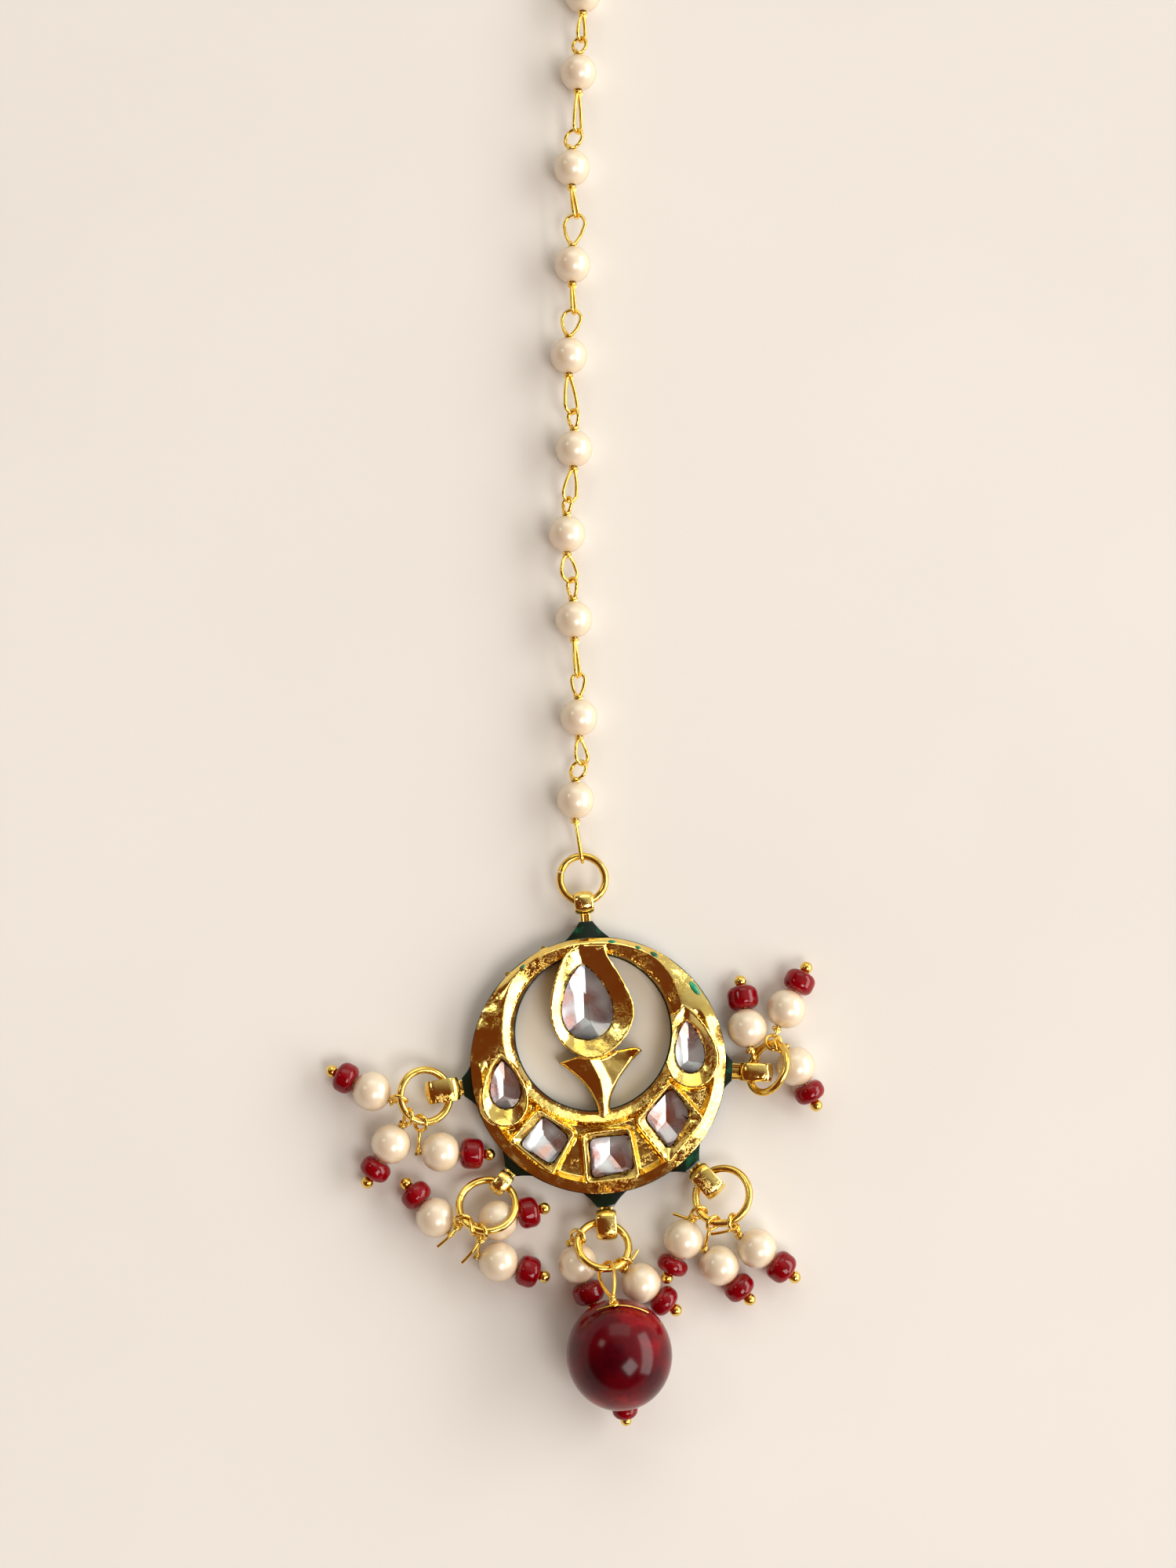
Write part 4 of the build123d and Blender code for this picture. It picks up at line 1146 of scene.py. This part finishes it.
red_glass, dark_glass = red_glass_finish(), dark_bead_finish()
for cluster in [name for name in BAILS if name != "top"]:
    pearls = sorted(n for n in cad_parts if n.startswith(cluster + "_drop_pearl"))
    beads = cad_solids(cluster + "_drop_beads")
    pins = cad_solids(cluster + "_drop_pins")
    drops = [(node, np.array(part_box(node)).mean(0) / MM, DROP_PEARL_R) for node in pearls]
    if cluster == "bottom":
        drops.append(("big_bead", np.array(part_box("big_bead")).mean(0) / MM, None))
    bead_shapes, seeds, strands, wraps = [], [], [], []
    for node, at, radius in drops:
        bead = min(beads, key=lambda b: np.linalg.norm(b.mean(0) - at))
        along = unit(bead.mean(0) - at)
        heights = (bead - at) @ along
        bead_end = at + along * heights.max()      # its own wire's seed sits right behind the bead
        pin = min(pins, key=lambda p: np.linalg.norm(p - bead_end, axis=1).min())
        spread = np.linalg.norm(bead - at - np.outer(heights, along), axis=1).max()
        length = heights.max() - heights.min()
        section = bead_section(spread - 0.01, length, min(BEAD_ROUND, length / 2.2), BEAD_BORE_R)
        bead_at = at + along * (heights.max() + heights.min()) / 2
        bead_shapes.append(stood(turned_shape(section, 40), bead_at, along))
        reach = ((pin - at) @ along).max()
        seed_r = SEED_R if radius else TAIL_SEED_R
        seeds.append(seed_shape(at + along * (reach - seed_r), along, seed_r))
        if radius:
            add_pearl(node, along, radius)
            half = radius
        else:
            half = BIG_HALF
            section = [(0.4, -half + 0.12)]
            section += [(BIG_R * cos(a), half * sin(a))
                        for a in np.linspace(-pi / 2 + 0.09, pi / 2 - 0.09, 60)]
            section += [(0.4, half - 0.12)]
            shape = stood(turned_shape(section, 120), at, along)
            big = add_piece("big_bead_dark", *shape, [dark_glass], sharp=40)
            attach(big, "root")
            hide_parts("big_bead")
        neck = at - along * (half + MOUTH_GAP)
        outer = pin[(pin - neck) @ along < 0.5]
        far = outer[np.linalg.norm(outer - neck, axis=1).argmax()]
        aim = unit(neck - far)
        centre = far + aim * (PIN_EYE_R + WIRE_R)
        near = pin[np.linalg.norm(pin - centre, axis=1) < PIN_EYE_R + WIRE_R + 0.05]
        eye_normal = np.linalg.svd(near - centre, full_matrices=False)[2][2]
        lean = radians(EYE_LEAN) * (1 if np.cross(aim, eye_normal)[2] * eye_normal[2] > 0 else -1)
        eye_normal = eye_normal * cos(lean) + np.cross(aim, eye_normal) * sin(lean)
        side = np.cross(eye_normal, aim)
        turns = np.linspace(0.25, 2 * pi + 0.1, 44)[:, None]
        lift = eye_normal * 0.30 * (turns / (2 * pi) - 0.5)
        eye = centre + (aim * np.cos(turns) + side * np.sin(turns)) * PIN_EYE_R + lift
        if radius:
            strands.append(np.vstack([eye, [(eye[-1] + neck) / 2 + side * 0.03, neck, neck + along * 0.4]]))
        else:
            knot = neck - aim * TWIST_LENGTH
            strands.append(eye_path(knot, far + aim * WIRE_R, TWIST_EYE_HALF, side))
            strands.extend(twist_paths(knot, neck, TWIST_TURNS))
            rim_turns = np.radians(np.linspace(-19, 38, 30))[:, None]
            flat = unit(np.cross((0, 0, 1), along))
            rim = at - along * half * np.cos(rim_turns) * 1.01 + flat * BIG_R * np.sin(rim_turns) * 1.01
            rim = rim + np.array([0, 0, 0.35])
            trimmed = add_wire("loose_end_bottom", [rim], LOOSE_WIRE_R, gilt_wire, sides=8)
            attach(trimmed, "root")
        strands.append(np.array([neck, at + along * (reach - seed_r)]))
        wraps.append(wrap_path(neck - along * 0.02, along, WRAP_R, WRAP_PITCH, 1.3))
        if node in TAILS:
            heading, length = radians(TAILS[node][0]), TAILS[node][1]
            base = centre + aim * (PIN_EYE_R + 0.3)
            share = np.linspace(0, 1, 12)[:, None]
            away = np.array([cos(heading), sin(heading), -0.12])
            wraps.append(base + share * length * away + np.sin(pi * share) * np.array([0.1, -0.1, 0.15]))
            wraps.append(wrap_path(base, aim, WRAP_R, WRAP_PITCH, 2.2))
    made = [
        add_piece("red_beads_" + cluster, *join_up(bead_shapes), [red_glass], sharp=50),
        add_piece("seeds_" + cluster, *join_up(seeds), [gilt_wire], sharp=50),
        add_wire("pins_" + cluster, strands, WIRE_R, gilt_wire),
        add_wire("pin_wraps_" + cluster, wraps, WRAP_WIRE_R, gilt_wire, sides=10),
    ]
    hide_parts(cluster + "_drop_beads")
    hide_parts(cluster + "_drop_pins")
    for piece in made:
        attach(piece, "root")

# ---- Hair hook -----------------------------------------------------------------------------------
# A plain hook of stouter gilt wire: a round eye on the chain's last link, a straight shank, a wide
# bend and a short point that ends in a small ball, so that it doesn't catch the hair.
HOOK_WIRE_R = 0.45
HOOK_EYE_R = 1.25
HOOK_BEND_R = 3.1
HOOK_TIP_R = 0.58

hook_points = cad_points("hair_hook")
hook_box = np.array(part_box("hair_hook")) / MM
shank_x = hook_box[0, 0] + HOOK_EYE_R + HOOK_WIRE_R
crown = extreme(hook_points, (0, 1, 0)) - np.array([0, HOOK_WIRE_R, 0])
eye_low = extreme(hook_points, (0, -1, 0)) + np.array([0, HOOK_WIRE_R, 0])
rise = unit(crown * (0, 1, 1) - eye_low * (0, 1, 1))
across = np.array([1.0, 0, 0])
origin = np.array([shank_x, *eye_low[1:]])
hook_length = np.linalg.norm((crown - eye_low)[1:])
turns = np.linspace(radians(80), radians(80 - 350), 60)[:, None]
hook_eye = origin + rise * HOOK_EYE_R + (across * np.cos(turns) + rise * np.sin(turns)) * HOOK_EYE_R
shank_top = origin + rise * (hook_length - HOOK_BEND_R)
shank = np.linspace(origin + rise * 2 * HOOK_EYE_R, shank_top, 20)
bend_turns = np.linspace(pi, 0, 50)[:, None]
swing = across * np.cos(bend_turns) + rise * np.sin(bend_turns)
bend = shank_top + across * HOOK_BEND_R + swing * HOOK_BEND_R
tip_y = hook_points[hook_points[:, 0] > hook_box[1, 0] - 0.6][:, 1].min() + HOOK_TIP_R
over = bend[-1]
tip = over - rise * (over[1] - tip_y)
path = np.vstack([hook_eye, shank[1:], bend[1:], np.linspace(over, tip, 12)[1:]])
hook = add_wire("hair_hook_wire", [path], HOOK_WIRE_R, gilt_wire, sides=24)
ball = [(max(0.01, HOOK_TIP_R * cos(a)), HOOK_TIP_R * sin(a)) for a in np.linspace(-pi / 2, pi / 2, 19)]
tip_shape = stood(turned_shape([*ball, (0.005, 0)], 32), tip, rise)
hook_ball = add_piece("hair_hook_tip", *tip_shape, [gilt_wire], sharp=60)
for piece in (hook, hook_ball):
    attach(piece, "root")
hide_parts("hair_hook")
